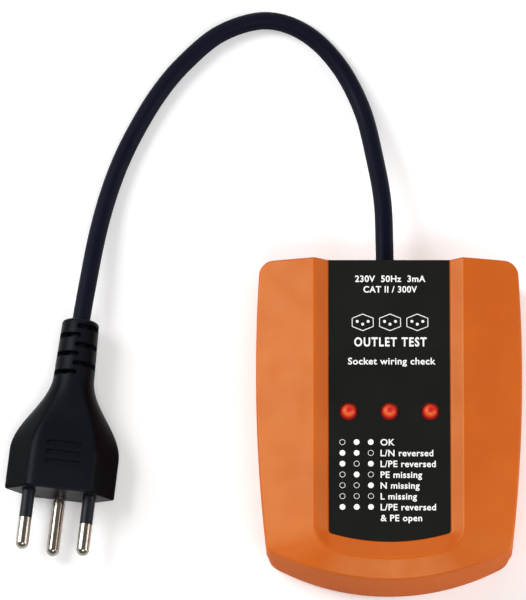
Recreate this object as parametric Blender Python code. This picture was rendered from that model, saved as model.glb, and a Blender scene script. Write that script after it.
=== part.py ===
"""Hand-held socket tester with a short lead and a moulded three-pin plug.

The tester lies on its back: +Z comes out of its front face, +Y points at the
cord end and +X to the right. The origin is the centre of the case's base.
The plug is modelled in its own frame, whose origin is the centre of the pin
face and whose +Y runs up the cord, and is laid on the same surface.
"""

import bisect
import math

import bmesh
import bpy
from mathutils import Matrix, Vector
from mathutils.geometry import delaunay_2d_cdt

# ---- driving dimensions, in metres ------------------------------------------

GAP = 0.0003                 # between pieces that touch on the real tester

# Case outline: bowed sides, a straight cord end and a bowed lower end.
CORD_END_Y = 0.0515
LOWER_END_Y = -0.0515
HALF_WIDTH = 0.0414          # at the widest level
WIDEST_Y = 0.017
SIDE_RADIUS = 0.493
LOWER_END_RADIUS = 0.075
LOWER_CORNER_RADIUS = 0.003
CORD_CORNER_RADIUS = 0.0045
SMALLEST_CORNER = 0.0005

# Case heights.
PARTING_Z = 0.014
RIDGE_Z = 0.030
SHOULDER_SLOPE = 0.33        # fall of the shoulders away from the ridge
EDGE_ROUND = 0.0007
EDGE_STEPS = (0.0, 0.0001, 0.0003, EDGE_ROUND)   # insets of the rounded rim's lines
FLOOR_Z = 0.0263             # floor of the label channel
WALL = 0.0022

# Label channel: half width, level of its bowed foot, corner radius.
RIDGE_LINE = (0.0231, -0.0450, 0.009)
FLOOR_LINE = (0.0191, -0.0393, 0.0012)
LABEL_LINE = (0.0188, -0.0390, 0.0010)
LABEL_THICKNESS = 0.0003
LABEL_TOP_Y = 0.0512
CHANNEL_OVERRUN_Y = 0.056    # channel lines run on past the cord end

# Lower shell: inset and height of each step of its wall, from the base up.
LOWER_WALL_OUTSIDE = ((0.0027, 0.0), (0.0018, 0.0003), (0.0012, 0.0009), (0.0008, 0.0022))
TONGUE = (0.0025, 0.0034)    # insets of the tongue's two faces
TONGUE_HEIGHT = 0.0016
BASE_THICKNESS = 0.0022

# Case screws, driven from the back.
CASE_SCREWS = ((-0.032, 0.040), (0.032, 0.040), (-0.030, -0.033), (0.030, -0.033))
POST_RADIUS = 0.0040
SCREW_BORE_RADIUS = 0.0016
SCREW_SHANK_RADIUS = 0.0013
SCREW_HEAD_RADIUS = 0.0028
SCREW_HEAD_HEIGHT = 0.0022
HEAD_SEAT_Z = 0.0067
SCREW_TOP_Z = 0.0205

# Levels that cutting bodies reach past the faces they cut.
INSIDE_LOW_Z = 0.010
ABOVE_CASE_Z = 0.035
LABEL_CUT_Z = 0.020

# Circuit board.
BOARD_HALF_WIDTH = 0.0250
BOARD_LOW_Y, BOARD_HIGH_Y = -0.038, 0.024
BOARD_Z = 0.0130
BOARD_THICKNESS = 0.0016
BOARD_TOP = BOARD_Z + BOARD_THICKNESS
BOARD_POSTS = ((-0.0215, 0.0205), (0.0215, 0.0205), (-0.0215, -0.0345), (0.0215, -0.0345))
BOARD_POST_RADIUS = 0.0025
BOARD_SCREW_RADIUS = 0.0010
BOARD_SCREW_HEAD = (0.0021, 0.0015)
BOARD_SCREW_BORE_RADIUS = 0.0013
BOARD_SCREW_LENGTH = 0.0075
CLAMP_SCREW_LENGTH = 0.0095

# Indicator lamps.
LED_PITCH = 0.0127
LED_Y = 0.0025
LED_RADIUS = 0.0025
LED_TIP_Z = 0.0286
LED_HEIGHT = 0.0086
LED_FLANGE = (0.0029, 0.0010)
LED_LEG_X = 0.00127
LED_LEG_HALF = 0.00025
LED_SPACER_RADII = (0.0030, 0.0021)
LED_HOLE_RADIUS = 0.0028
LAMPS = (("left", -LED_PITCH), ("middle", 0.0), ("right", LED_PITCH))

# Cord and its fittings at the case.
CORD_RADIUS = 0.0028
CORD_X = -0.0011
CORD_Z = PARTING_Z
CORD_INNER_Y = 0.0355
CONDUCTOR_RADIUS = 0.00095
GROMMET_BORE = CORD_RADIUS + GAP
GROMMET_NECK_RADIUS = 0.0045
GROMMET_INNER_RADIUS = 0.0060
GROMMET_OUTER_RADIUS = 0.0053
GROMMET_FLANGE = 0.0016      # thickness of the flange inside the case
GROMMET_LIP = 0.0012         # how far the outer flange stands out
CLAMP_Y = 0.0415
CLAMP_HALF_LENGTH = 0.0105
CLAMP_HALF_WIDTH = 0.0030
CLAMP_TOP_Z = 0.0170
CLAMP_THICKNESS = 0.0025
CLAMP_SCREW_X = 0.0070

# Plug, in its own frame.
PLUG_PLACE = (-0.1027, -0.0194, 0.0079)
PLUG_TURN = math.radians(-6.7)
PLUG_HALF_WIDTH = 0.0173
PLUG_HALF_HEIGHT = 0.0078
PLUG_FLAT = 0.545            # share of the width that the front and back flats take
PLUG_SHOULDER = (0.0125, 0.038)
NECK_RADIUS = (0.0064, 0.0058)
NECK_TOP = 0.0566
PIN_FACE_THICKNESS = 0.0022
POCKET_HALF_WIDTH = 0.0148
POCKET_HALF_HEIGHT = 0.0066
POCKET_END = 0.0125
PIN_PITCH = 0.019
PIN_RADIUS = 0.0020
PIN_LENGTH = 0.019
PIN_NECK_RADIUS = 0.0014
PIN_TAIL = 0.0140
PIN_ROW_HEIGHT = 0.0016      # of the two live pins above the plug's middle plane
EARTH_OFFSET = 0.005         # of the earth pin, towards the back
SLEEVE_LENGTH = 0.0089
SLOT_PITCH = 0.00605
SLOT_WIDTH = 0.0017
SLOT_FIRST = 0.0374
SLOT_WEB = 0.0010            # half thickness of the webs left at the sides of the neck
GROOVE_LENGTH = 0.011
GROOVE_WIDTH = 0.0016
GROOVE_DEPTH = 0.0004
GROOVE_PITCH = 0.003
GROOVE_MIDDLE = 0.0116
CORD_IN_PLUG = 0.031

# Free run of the cord over the surface, between the case and the plug.
CORD_ROUTE = (
    (-0.0011, 0.0515, 0.0140),
    (-0.0012, 0.0600, 0.0138),
    (-0.0017, 0.0740, 0.0122),
    (-0.0040, 0.0890, 0.0085),
    (-0.0080, 0.1065, 0.0045),
    (-0.0155, 0.1216, 0.0031),
    (-0.0260, 0.1322, 0.0029),
    (-0.0385, 0.1362, 0.0029),
    (-0.0525, 0.1320, 0.0029),
    (-0.0640, 0.1222, 0.0029),
    (-0.0722, 0.1120, 0.0029),
    (-0.0792, 0.1000, 0.0029),
    (-0.0845, 0.0885, 0.0030),
    (-0.0885, 0.0765, 0.0036),
    (-0.0915, 0.0640, 0.0050),
    (-0.0938, 0.0510, 0.0067),
)
CORD_POINT_STEP = 0.008

MANY_HOLED = ("top_shell", "top_hollow", "bottom_shell", "plug_body", "plug_carrier")

COLOURS = {
    "orange_abs": ((0.68, 0.19, 0.03), 0.45, 0.0),
    "black_print": ((0.014, 0.015, 0.014), 0.5, 0.0),
    "black_pvc": ((0.008, 0.009, 0.012), 0.5, 0.0),
    "black_rubber": ((0.012, 0.012, 0.013), 0.7, 0.0),
    "plug_carrier": ((0.012, 0.013, 0.016), 0.4, 0.0),
    "nickel": ((0.72, 0.70, 0.66), 0.16, 1.0),
    "zinc_steel": ((0.62, 0.62, 0.60), 0.32, 1.0),
    "board_green": ((0.03, 0.16, 0.07), 0.4, 0.0),
    "red_lens": ((0.80, 0.03, 0.02), 0.15, 0.0),
    "spacer_nylon": ((0.70, 0.69, 0.64), 0.6, 0.0),
    "resistor_body": ((0.50, 0.36, 0.22), 0.5, 0.0),
    "diode_body": ((0.02, 0.02, 0.02), 0.35, 0.0),
    "clamp_nylon": ((0.62, 0.60, 0.55), 0.6, 0.0),
    "wire_brown": ((0.16, 0.06, 0.03), 0.45, 0.0),
    "wire_blue": ((0.02, 0.10, 0.42), 0.45, 0.0),
    "wire_green_yellow": ((0.35, 0.52, 0.05), 0.45, 0.0),
}


# ---- making objects ----------------------------------------------------------

def clear_scene():
    for item in list(bpy.data.objects):
        bpy.data.objects.remove(item, do_unlink=True)


def material(name):
    """Principled material of the given entry of COLOURS, made once."""
    found = bpy.data.materials.get(name)
    if found:
        return found
    colour, roughness, metallic = COLOURS[name]
    made = bpy.data.materials.new(name)
    made.use_nodes = True
    shader = made.node_tree.nodes["Principled BSDF"]
    shader.inputs["Base Color"].default_value = (*colour, 1.0)
    shader.inputs["Roughness"].default_value = roughness
    shader.inputs["Metallic"].default_value = metallic
    return made


def place(name, body, look, parent=None, round_piece=False):
    """Object from a bmesh, in the world frame or in its parent's."""
    bmesh.ops.triangulate(body, faces=body.faces)
    bmesh.ops.recalc_face_normals(body, faces=body.faces)
    mesh = bpy.data.meshes.new(name)
    body.to_mesh(mesh)
    body.free()
    if round_piece:
        mesh.shade_smooth()
        mesh.set_sharp_from_angle(angle=math.radians(40))
    made = bpy.data.objects.new(name, mesh)
    bpy.context.scene.collection.objects.link(made)
    made.data.materials.append(material(look))
    made.parent = parent
    return made


def cutter(name, body, parent=None):
    """Guide body for a Boolean, which is no piece of the tester."""
    made = place(name, body, "zinc_steel", parent)
    made.hide_render = True
    made.display_type = "WIRE"
    return made


def combine(target, other, operation):
    """Boolean step; the many-holed mouldings need the solver made for closed bodies."""
    step = target.modifiers.new(operation.lower() + "_" + other.name, "BOOLEAN")
    step.operation = operation
    step.solver = "MANIFOLD" if target.name in MANY_HOLED else "EXACT"
    step.object = other


# ---- shapes ------------------------------------------------------------------

def arc(centre, radius, first, last, steps):
    """Points of an arc in the XY plane, both ends included."""
    turns = [first + (last - first) * i / steps for i in range(steps + 1)]
    return [(centre[0] + radius * math.cos(t), centre[1] + radius * math.sin(t)) for t in turns]


def loft(body, rings, closed=False):
    """Skin over equal rings: capped at both ends, or closed on itself."""
    loops = [[body.verts.new(point) for point in ring] for ring in rings]
    pairs = list(zip(loops, loops[1:]))
    if closed:
        pairs.append((loops[-1], loops[0]))
    count = len(loops[0])
    for low, high in pairs:
        for i in range(count):
            j = (i + 1) % count
            body.faces.new((low[i], low[j], high[j], high[i]))
    if not closed:
        body.faces.new(list(reversed(loops[0])))
        body.faces.new(loops[-1])
    return body


def circle_ring(centre, radius, z, sides, start=0.0):
    turns = [start + 2 * math.pi * k / sides for k in range(sides)]
    return [(centre[0] + radius * math.cos(t), centre[1] + radius * math.sin(t), z) for t in turns]


def turned(profile, sides, centre=(0, 0), closed=False, body=None):
    """Body of revolution about a vertical line, from (radius, z) steps."""
    rings = [circle_ring(centre, radius, z, sides) for radius, z in profile]
    return loft(body or bmesh.new(), rings, closed)


def cylinders(places, radius, low, high, sides=20):
    """Several upright cylinders in one mesh."""
    body = bmesh.new()
    for place_xy in places:
        turned(((radius, low), (radius, high)), sides, place_xy, body=body)
    return body


def along_y(body):
    """Turn a body made about Z so that it runs along +Y."""
    bmesh.ops.rotate(body, verts=body.verts, matrix=Matrix.Rotation(math.radians(-90), 3, "X"))
    return body


def cross_ring(arm, half_width, z):
    """Outline of a cross-shaped screw recess, in twelve points."""
    quarter = ((arm, -half_width), (arm, half_width), (half_width, half_width))
    ring = []
    for k in range(4):
        turn = Matrix.Rotation(math.pi / 2 * k, 2)
        ring += [(*(turn @ Vector(point)), z) for point in quarter]
    return ring


def box(low, high, body=None):
    body = body or bmesh.new()
    size = [b - a for a, b in zip(low, high)]
    middle = [(a + b) / 2 for a, b in zip(low, high)]
    shape = Matrix.Translation(middle) @ Matrix.Diagonal((*size, 1.0))
    bmesh.ops.create_cube(body, size=1.0, matrix=shape)
    return body


def swept(steps, sides):
    """Body along a path of (point, radius) steps that stays in one plane or nearly so."""
    points = [Vector(point) for point, _ in steps]
    body = bmesh.new()
    rings = []
    side = None
    for i, (_, radius) in enumerate(steps):
        before = points[max(i - 1, 0)]
        after = points[min(i + 1, len(points) - 1)]
        along = (after - before).normalized()
        if side is None:
            side = along.orthogonal().normalized()
        side = (side - along * side.dot(along)).normalized()
        up = along.cross(side)
        turns = [2 * math.pi * k / sides for k in range(sides)]
        rings.append([points[i] + radius * (side * math.cos(t) + up * math.sin(t)) for t in turns])
    return loft(body, rings)


def smooth_run(route, step):
    """Evenly spaced points of the smooth curve through the route."""
    knots = [Vector(point) for point in route]
    knots = [2 * knots[0] - knots[1]] + knots + [2 * knots[-1] - knots[-2]]
    fine = []
    for a, b, c, d in zip(knots, knots[1:], knots[2:], knots[3:]):
        for k in range(40):
            t = k / 40
            fine.append(0.5 * (2 * b + (c - a) * t + (2 * a - 5 * b + 4 * c - d) * t * t
                               + (3 * b - a - 3 * c + d) * t ** 3))
    fine.append(knots[-2])
    travelled = [0.0]
    for a, b in zip(fine, fine[1:]):
        travelled.append(travelled[-1] + (b - a).length)
    count = max(2, round(travelled[-1] / step))
    even = []
    for k in range(count + 1):
        wanted = travelled[-1] * k / count
        i = min(max(bisect.bisect_left(travelled, wanted), 1), len(fine) - 1)
        share = (wanted - travelled[i - 1]) / (travelled[i] - travelled[i - 1])
        even.append(fine[i - 1].lerp(fine[i], share))
    return even


def tube(name, points, radius, look, parent=None):
    """Round cord or wire: a bevelled curve with filled ends."""
    line = bpy.data.curves.new(name, "CURVE")
    line.dimensions = "3D"
    line.bevel_depth = radius
    line.bevel_resolution = 2
    line.resolution_u = 1
    line.render_resolution_u = 0
    line.use_fill_caps = True
    spline = line.splines.new("POLY")
    spline.points.add(len(points) - 1)
    for knot, point in zip(spline.points, points):
        knot.co = (*point, 1.0)
    line.materials.append(material(look))
    made = bpy.data.objects.new(name, line)
    bpy.context.scene.collection.objects.link(made)
    made.parent = parent
    return made


# ---- case geometry -----------------------------------------------------------

LOWER_CENTRE = (0.0, LOWER_END_Y + LOWER_END_RADIUS)
SIDE_CENTRE = (HALF_WIDTH - SIDE_RADIUS, WIDEST_Y)


def direction(centre, point):
    return math.atan2(point[1] - centre[1], point[0] - centre[0])


def circles_meet(first, first_radius, second, second_radius):
    """Lower right meeting point of two circles."""
    apart = math.dist(first, second)
    along = (first_radius ** 2 - second_radius ** 2 + apart ** 2) / (2 * apart)
    across = math.sqrt(first_radius ** 2 - along ** 2)
    ux, uy = (second[0] - first[0]) / apart, (second[1] - first[1]) / apart
    foot = (first[0] + along * ux, first[1] + along * uy)
    choices = ((foot[0] - across * uy, foot[1] + across * ux),
               (foot[0] + across * uy, foot[1] - across * ux))
    return min(choices, key=lambda point: point[1])


def outline_arcs(inset):
    """Arcs of the right half of the outline, from the lower end to the cord end."""
    low_radius = max(LOWER_CORNER_RADIUS - inset, SMALLEST_CORNER)
    high_radius = max(CORD_CORNER_RADIUS - inset, SMALLEST_CORNER)
    end_radius = LOWER_END_RADIUS - inset
    side_radius = SIDE_RADIUS - inset
    low = circles_meet(LOWER_CENTRE, end_radius - low_radius, SIDE_CENTRE, side_radius - low_radius)
    high_y = CORD_END_Y - inset - high_radius
    reach = math.sqrt((side_radius - high_radius) ** 2 - (high_y - WIDEST_Y) ** 2)
    high = (SIDE_CENTRE[0] + reach, high_y)
    end_turn = direction(LOWER_CENTRE, low)
    side_low = direction(SIDE_CENTRE, low)
    side_high = direction(SIDE_CENTRE, high)
    return ((LOWER_CENTRE, end_radius, -math.pi / 2, end_turn, 7),
            (low, low_radius, end_turn, side_low, 3),
            (SIDE_CENTRE, side_radius, side_low, side_high, 9),
            (high, high_radius, side_high, math.pi / 2, 4))


def outline(inset):
    """Whole outline, anticlockwise from the middle of the lower end."""
    right = []
    for one_arc in outline_arcs(inset):
        right += arc(*one_arc)[1 if right else 0:]
    return right + [(-x, y) for x, y in reversed(right[1:])]


def edge_inset(x, y):
    """How far a point lies inside the outline."""
    insets = [CORD_END_Y - y]
    for centre, radius, first, last, _ in outline_arcs(0.0):
        if first - 1e-6 <= direction(centre, (abs(x), y)) <= last + 1e-6:
            insets.append(radius - math.dist(centre, (abs(x), y)))
    return min(insets)


def channel_corner(half, foot_y, radius):
    """Foot radius of a channel line and the centre of its right corner."""
    foot_radius = LOWER_CENTRE[1] - foot_y
    x = half - radius
    y = LOWER_CENTRE[1] - math.sqrt((foot_radius - radius) ** 2 - x ** 2)
    return foot_radius, (x, y)


def channel_line(half, foot_y, radius, top_y):
    """U-shaped line from its left top, round the bowed foot, to its right top."""
    foot_radius, corner = channel_corner(half, foot_y, radius)
    turn = direction(LOWER_CENTRE, corner)
    right = arc(LOWER_CENTRE, foot_radius, -math.pi / 2, turn, 6)
    right += arc(corner, radius, turn, 0.0, 4)[1:]
    right.append((half, top_y))
    return [(-x, y) for x, y in reversed(right[1:])] + right


def channel_distance(x, y, half, foot_y, radius):
    """Distance from a channel line, positive outside the channel."""
    foot_radius, corner = channel_corner(half, foot_y, radius)
    x = abs(x)
    turn = direction(LOWER_CENTRE, corner)
    if y < corner[1] and turn < direction(corner, (x, y)) < 0:
        return math.dist(corner, (x, y)) - radius
    return max(x - half, math.dist(LOWER_CENTRE, (x, y)) - foot_radius)


def face_height(x, y):
    """Height of the front face: shoulders, ridge, channel wall and channel floor."""
    outside = channel_distance(x, y, *RIDGE_LINE)
    if outside >= 0:
        return RIDGE_Z - SHOULDER_SLOPE * outside
    past_floor = channel_distance(x, y, *FLOOR_LINE)
    if past_floor <= 0:
        return FLOOR_Z
    return RIDGE_Z - (RIDGE_Z - FLOOR_Z) * -outside / (past_floor - outside)


def edge_drop(inset):
    """Fall of the rounded rim at an inset from the outline."""
    reach = EDGE_ROUND - min(max(inset, 0.0), EDGE_ROUND)
    return EDGE_ROUND - math.sqrt(EDGE_ROUND ** 2 - reach ** 2)


def faced_body(rim, lines, height, low_z):
    """Closed body with upright walls whose top follows height(x, y), creased along the lines."""
    points = [Vector(point) for point in rim]
    face = list(range(len(rim)))
    edges = []
    for line, is_loop in lines:
        first = len(points)
        points += [Vector(point) for point in line]
        edges += [(first + i, first + i + 1) for i in range(len(line) - 1)]
        if is_loop:
            edges.append((len(points) - 1, first))
    flat, _, triangles, *_ = delaunay_2d_cdt(points, edges, [face], 1, 1e-7)
    body = bmesh.new()
    verts = [body.verts.new((p.x, p.y, height(p.x, p.y))) for p in flat]
    for triangle in triangles:
        body.faces.new([verts[i] for i in triangle])
    open_edges = [edge for edge in body.edges if edge.is_boundary]
    wall = bmesh.ops.extrude_edge_only(body, edges=open_edges)["geom"]
    for item in wall:
        if isinstance(item, bmesh.types.BMVert):
            item.co.z = low_z
    lower = [item for item in wall if isinstance(item, bmesh.types.BMEdge) and item.is_boundary]
    bmesh.ops.edgeloop_fill(body, edges=lower)
    return body


# ---- case pieces -------------------------------------------------------------

def cord_passage(outer_radius, low_y, high_y):
    """Cylinder along the cord where it crosses the cord end of the case."""
    body = along_y(turned(((outer_radius, low_y), (outer_radius, high_y)), 24))
    bmesh.ops.translate(body, verts=body.verts, vec=(CORD_X, 0, CORD_Z))
    return body


def cut_cord_passage(shell):
    """Hole for the grommet's neck and room for its inner flange."""
    inner_face = CORD_END_Y - WALL
    neck_radius = GROMMET_NECK_RADIUS + GAP
    neck = cutter(shell.name + "_neck_cut", cord_passage(neck_radius, inner_face - 0.0001, CORD_END_Y + WALL))
    flange_low = inner_face - GROMMET_FLANGE - 2 * GAP
    flange_radius = GROMMET_INNER_RADIUS + GAP
    flange = cutter(shell.name + "_flange_cut", cord_passage(flange_radius, flange_low, inner_face))
    combine(shell, neck, "DIFFERENCE")
    combine(shell, flange, "DIFFERENCE")


def lamp_holes():
    return cylinders([(x, LED_Y) for _, x in LAMPS], LED_HOLE_RADIUS, LABEL_CUT_Z, ABOVE_CASE_Z)


def make_top_shell():
    channel = [(channel_line(*line, CHANNEL_OVERRUN_Y), False) for line in (RIDGE_LINE, FLOOR_LINE)]
    lines = [(outline(inset), True) for inset in EDGE_STEPS[1:]] + channel
    shell_low = PARTING_Z + GAP / 2
    body = faced_body(outline(0.0), lines, lambda x, y: face_height(x, y) - edge_drop(edge_inset(x, y)),
                      shell_low)
    shell = place("top_shell", body, "orange_abs")

    hollow = faced_body(outline(WALL), channel, lambda x, y: face_height(x, y) - WALL, INSIDE_LOW_Z)
    hollow = cutter("top_hollow", hollow)
    pillars = cutter("top_pillars", cylinders(CASE_SCREWS, POST_RADIUS, HEAD_SEAT_Z, ABOVE_CASE_Z))
    combine(hollow, pillars, "DIFFERENCE")
    combine(shell, hollow, "DIFFERENCE")
    bores = cylinders(CASE_SCREWS, SCREW_BORE_RADIUS, HEAD_SEAT_Z, SCREW_TOP_Z + 2 * GAP, 14)
    combine(shell, cutter("top_bores", bores), "DIFFERENCE")
    combine(shell, cutter("lamp_bores", lamp_holes()), "DIFFERENCE")
    cut_cord_passage(shell)


def make_bottom_shell():
    rim_z = PARTING_Z - GAP / 2
    tongue_out, tongue_in = TONGUE
    steps = list(LOWER_WALL_OUTSIDE)
    steps += [(0.0, rim_z), (tongue_out, rim_z), (tongue_out, rim_z + TONGUE_HEIGHT)]
    steps += [(tongue_in, rim_z + TONGUE_HEIGHT), (tongue_in, BASE_THICKNESS)]
    rings = [[(x, y, z) for x, y in outline(inset)] for inset, z in steps]
    shell = place("bottom_shell", loft(bmesh.new(), rings), "orange_abs")

    posts = cylinders(CASE_SCREWS, POST_RADIUS, 0.001, rim_z)
    for x, y in BOARD_POSTS:
        turned(((BOARD_POST_RADIUS, 0.001), (BOARD_POST_RADIUS, BOARD_Z - GAP)), 16, (x, y), body=posts)
    low = (CORD_X - CLAMP_HALF_LENGTH, CLAMP_Y - CLAMP_HALF_WIDTH, 0.001)
    high = (CORD_X + CLAMP_HALF_LENGTH, CLAMP_Y + CLAMP_HALF_WIDTH, CLAMP_TOP_Z)
    box(low, high, posts)
    combine(shell, cutter("bottom_posts", posts), "UNION")

    bores = cylinders(CASE_SCREWS, SCREW_BORE_RADIUS, 0.003, 0.020, 14)
    for x, y in BOARD_POSTS:
        turned(((BOARD_SCREW_BORE_RADIUS, 0.006), (BOARD_SCREW_BORE_RADIUS, 0.020)), 12, (x, y), body=bores)
    for side in (-1, 1):
        screw_place = (CORD_X + side * CLAMP_SCREW_X, CLAMP_Y)
        bore = ((BOARD_SCREW_BORE_RADIUS, 0.008), (BOARD_SCREW_BORE_RADIUS, 0.020))
        turned(bore, 12, screw_place, body=bores)
    combine(shell, cutter("bottom_bores", bores), "DIFFERENCE")
    seats = cylinders(CASE_SCREWS, SCREW_HEAD_RADIUS + GAP, -0.001, HEAD_SEAT_Z)
    combine(shell, cutter("screw_seats", seats), "DIFFERENCE")

    trough = arc((CORD_X, CORD_Z), GROMMET_BORE, math.pi, 2 * math.pi, 12)
    trough = [(CORD_X - GROMMET_BORE, 0.0200)] + trough + [(CORD_X + GROMMET_BORE, 0.0200)]
    saddle = loft(bmesh.new(), [[(x, y, z) for x, z in trough] for y in (0.0370, 0.0460)])
    combine(shell, cutter("saddle_cut", saddle), "DIFFERENCE")
    cut_cord_passage(shell)


def make_label():
    rim = channel_line(*LABEL_LINE, LABEL_TOP_Y)
    low = FLOOR_Z + GAP
    rings = [[(x, y, z) for x, y in rim] for z in (low, low + LABEL_THICKNESS)]
    label = place("front_label", loft(bmesh.new(), rings), "black_print")
    combine(label, cutter("label_bores", lamp_holes()), "DIFFERENCE")


def make_screw(name, place_xyz, shank_radius, head_radius, head_height, length, upwards):
    """Screw with a flat head and a cross-cut recess; its head rests on place_xyz."""
    reach = length if upwards else -length
    head = -head_height if upwards else head_height
    profile = ((shank_radius * 0.35, reach), (shank_radius, reach * 0.92), (shank_radius, 0.0),
               (head_radius, 0.0), (head_radius, head * 0.85), (head_radius * 0.92, head))
    rings = [circle_ring((0, 0), radius, z, 12, math.radians(-15)) for radius, z in profile]
    rings += [cross_ring(head_radius * 0.6, head_radius * 0.14, z) for z in (head, head * 0.45)]
    body = loft(bmesh.new(), rings)
    body.faces.ensure_lookup_table()
    bmesh.ops.poke(body, faces=[body.faces[-1]])
    screw = place(name, body, "zinc_steel", round_piece=True)
    screw.location = place_xyz


def make_screws():
    for number, (x, y) in enumerate(CASE_SCREWS, 1):
        seat = (x, y, HEAD_SEAT_Z - GAP)
        make_screw(f"case_screw_{number}", seat, SCREW_SHANK_RADIUS, SCREW_HEAD_RADIUS, SCREW_HEAD_HEIGHT,
                   SCREW_TOP_Z - HEAD_SEAT_Z, True)
    for number, (x, y) in enumerate(BOARD_POSTS, 1):
        seat = (x, y, BOARD_TOP + GAP)
        make_screw(f"board_screw_{number}", seat, BOARD_SCREW_RADIUS, *BOARD_SCREW_HEAD, BOARD_SCREW_LENGTH,
                   False)
    for side, word in ((-1, "left"), (1, "right")):
        seat = (CORD_X + side * CLAMP_SCREW_X, CLAMP_Y, CLAMP_TOP_Z + CLAMP_THICKNESS + 2 * GAP)
        make_screw(f"clamp_screw_{word}", seat, BOARD_SCREW_RADIUS, *BOARD_SCREW_HEAD, CLAMP_SCREW_LENGTH,
                   False)


# ---- electrical pieces in the case ---------------------------------------------

def make_board():
    low = (-BOARD_HALF_WIDTH, BOARD_LOW_Y, BOARD_Z)
    high = (BOARD_HALF_WIDTH, BOARD_HIGH_Y, BOARD_TOP)
    board = place("circuit_board", box(low, high), "board_green")
    holes = cylinders(BOARD_POSTS, 0.0014, 0.010, 0.020, 12)
    combine(board, cutter("board_holes", holes), "DIFFERENCE")


def make_lamp(word, x):
    flange_radius, flange_height = LED_FLANGE
    low = LED_TIP_Z - LED_HEIGHT
    dome_z = LED_TIP_Z - LED_RADIUS
    profile = [(flange_radius, low), (flange_radius, low + flange_height), (LED_RADIUS, low + flange_height)]
    turns = [math.pi / 2 * k / 5 for k in range(5)]
    profile += [(LED_RADIUS * math.cos(t), dome_z + LED_RADIUS * math.sin(t)) for t in turns]
    profile.append((LED_RADIUS * 0.08, LED_TIP_Z))
    lamp = place(f"led_{word}", turned(profile, 20, (x, LED_Y)), "red_lens", round_piece=True)
    legs = bmesh.new()
    for side in (-LED_LEG_X, LED_LEG_X):
        foot = BOARD_TOP + GAP
        near = (x + side - LED_LEG_HALF, LED_Y - LED_LEG_HALF, foot)
        far = (x + side + LED_LEG_HALF, LED_Y + LED_LEG_HALF, low + flange_height)
        box(near, far, legs)
    combine(lamp, cutter(f"led_{word}_legs", legs), "UNION")

    top, foot = low - GAP, BOARD_TOP + GAP
    outer, inner = LED_SPACER_RADII
    ring = ((outer, foot), (outer, top), (inner, top), (inner, foot))
    place(f"led_spacer_{word}", turned(ring, 20, (x, LED_Y), closed=True), "spacer_nylon", round_piece=True)


def make_leaded_part(name, x, y, look, body_radius, body_half, span_half):
    """Axial component: body between two leads that bend down to the board."""
    foot = BOARD_TOP + GAP
    axis_z = foot + body_radius + 0.0004
    wire = 0.0003
    bend = 0.0006
    right = [((body_half, axis_z), wire), ((span_half - bend, axis_z), wire),
             ((span_half - bend * 0.3, axis_z - bend * 0.3), wire),
             ((span_half, axis_z - bend), wire), ((span_half, foot), wire)]
    ends = [((body_half * 0.6, axis_z), body_radius * 0.9), ((body_half * 0.7, axis_z), body_radius),
            ((body_half * 0.96, axis_z), body_radius)]
    half = ends + right
    steps = [((-reach, z), radius) for (reach, z), radius in reversed(half)] + half
    path = [((x + reach, y, z), radius) for (reach, z), radius in steps]
    place(name, swept(path, 8), look, round_piece=True)


def make_components():
    for number in range(6):
        column, row = number % 2, number // 2
        make_leaded_part(f"resistor_{number + 1}", (-0.0085, 0.0085)[column], -0.008 - 0.0055 * row,
                         "resistor_body", 0.00125, 0.0033, 0.0058)
    for number in range(3):
        make_leaded_part(f"diode_{number + 1}", (number - 1) * LED_PITCH, -0.0265, "diode_body",
                         0.0012, 0.0024, 0.0045)


# ---- cord and its fittings -----------------------------------------------------

CONDUCTORS = (("brown", -1, "wire_brown"), ("blue", 1, "wire_blue"), ("earth", 0, "wire_green_yellow"))


def make_grommet():
    inner_face = CORD_END_Y - WALL
    low_y, lip_y, high_y = inner_face - GROMMET_FLANGE, CORD_END_Y + GAP, CORD_END_Y + GROMMET_LIP
    profile = ((GROMMET_BORE, low_y), (GROMMET_INNER_RADIUS, low_y), (GROMMET_INNER_RADIUS, inner_face - GAP),
               (GROMMET_NECK_RADIUS, inner_face - GAP), (GROMMET_NECK_RADIUS, lip_y),
               (GROMMET_OUTER_RADIUS, lip_y), (GROMMET_OUTER_RADIUS - GAP, high_y), (GROMMET_BORE, high_y))
    body = along_y(turned(profile, 24, closed=True))
    bmesh.ops.translate(body, verts=body.verts, vec=(CORD_X, 0, CORD_Z))
    place("cord_grommet", body, "black_rubber", round_piece=True)


def make_clamp():
    low_z, high_z = CLAMP_TOP_Z + GAP, CLAMP_TOP_Z + GAP + CLAMP_THICKNESS
    low = (CORD_X - CLAMP_HALF_LENGTH, CLAMP_Y - CLAMP_HALF_WIDTH, low_z)
    high = (CORD_X + CLAMP_HALF_LENGTH, CLAMP_Y + CLAMP_HALF_WIDTH, high_z)
    clamp = place("cord_clamp", box(low, high), "clamp_nylon")
    places = [(CORD_X + side * CLAMP_SCREW_X, CLAMP_Y) for side in (-1, 1)]
    combine(clamp, cutter("clamp_bores", cylinders(places, 0.0014, 0.010, 0.025, 12)), "DIFFERENCE")


def plug_point(side, along, up=0.0):
    """World place of a point in the plug's frame."""
    turned_point = Matrix.Rotation(PLUG_TURN, 3, "Z") @ Vector((side, along, up))
    return Vector(PLUG_PLACE) + turned_point


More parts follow.
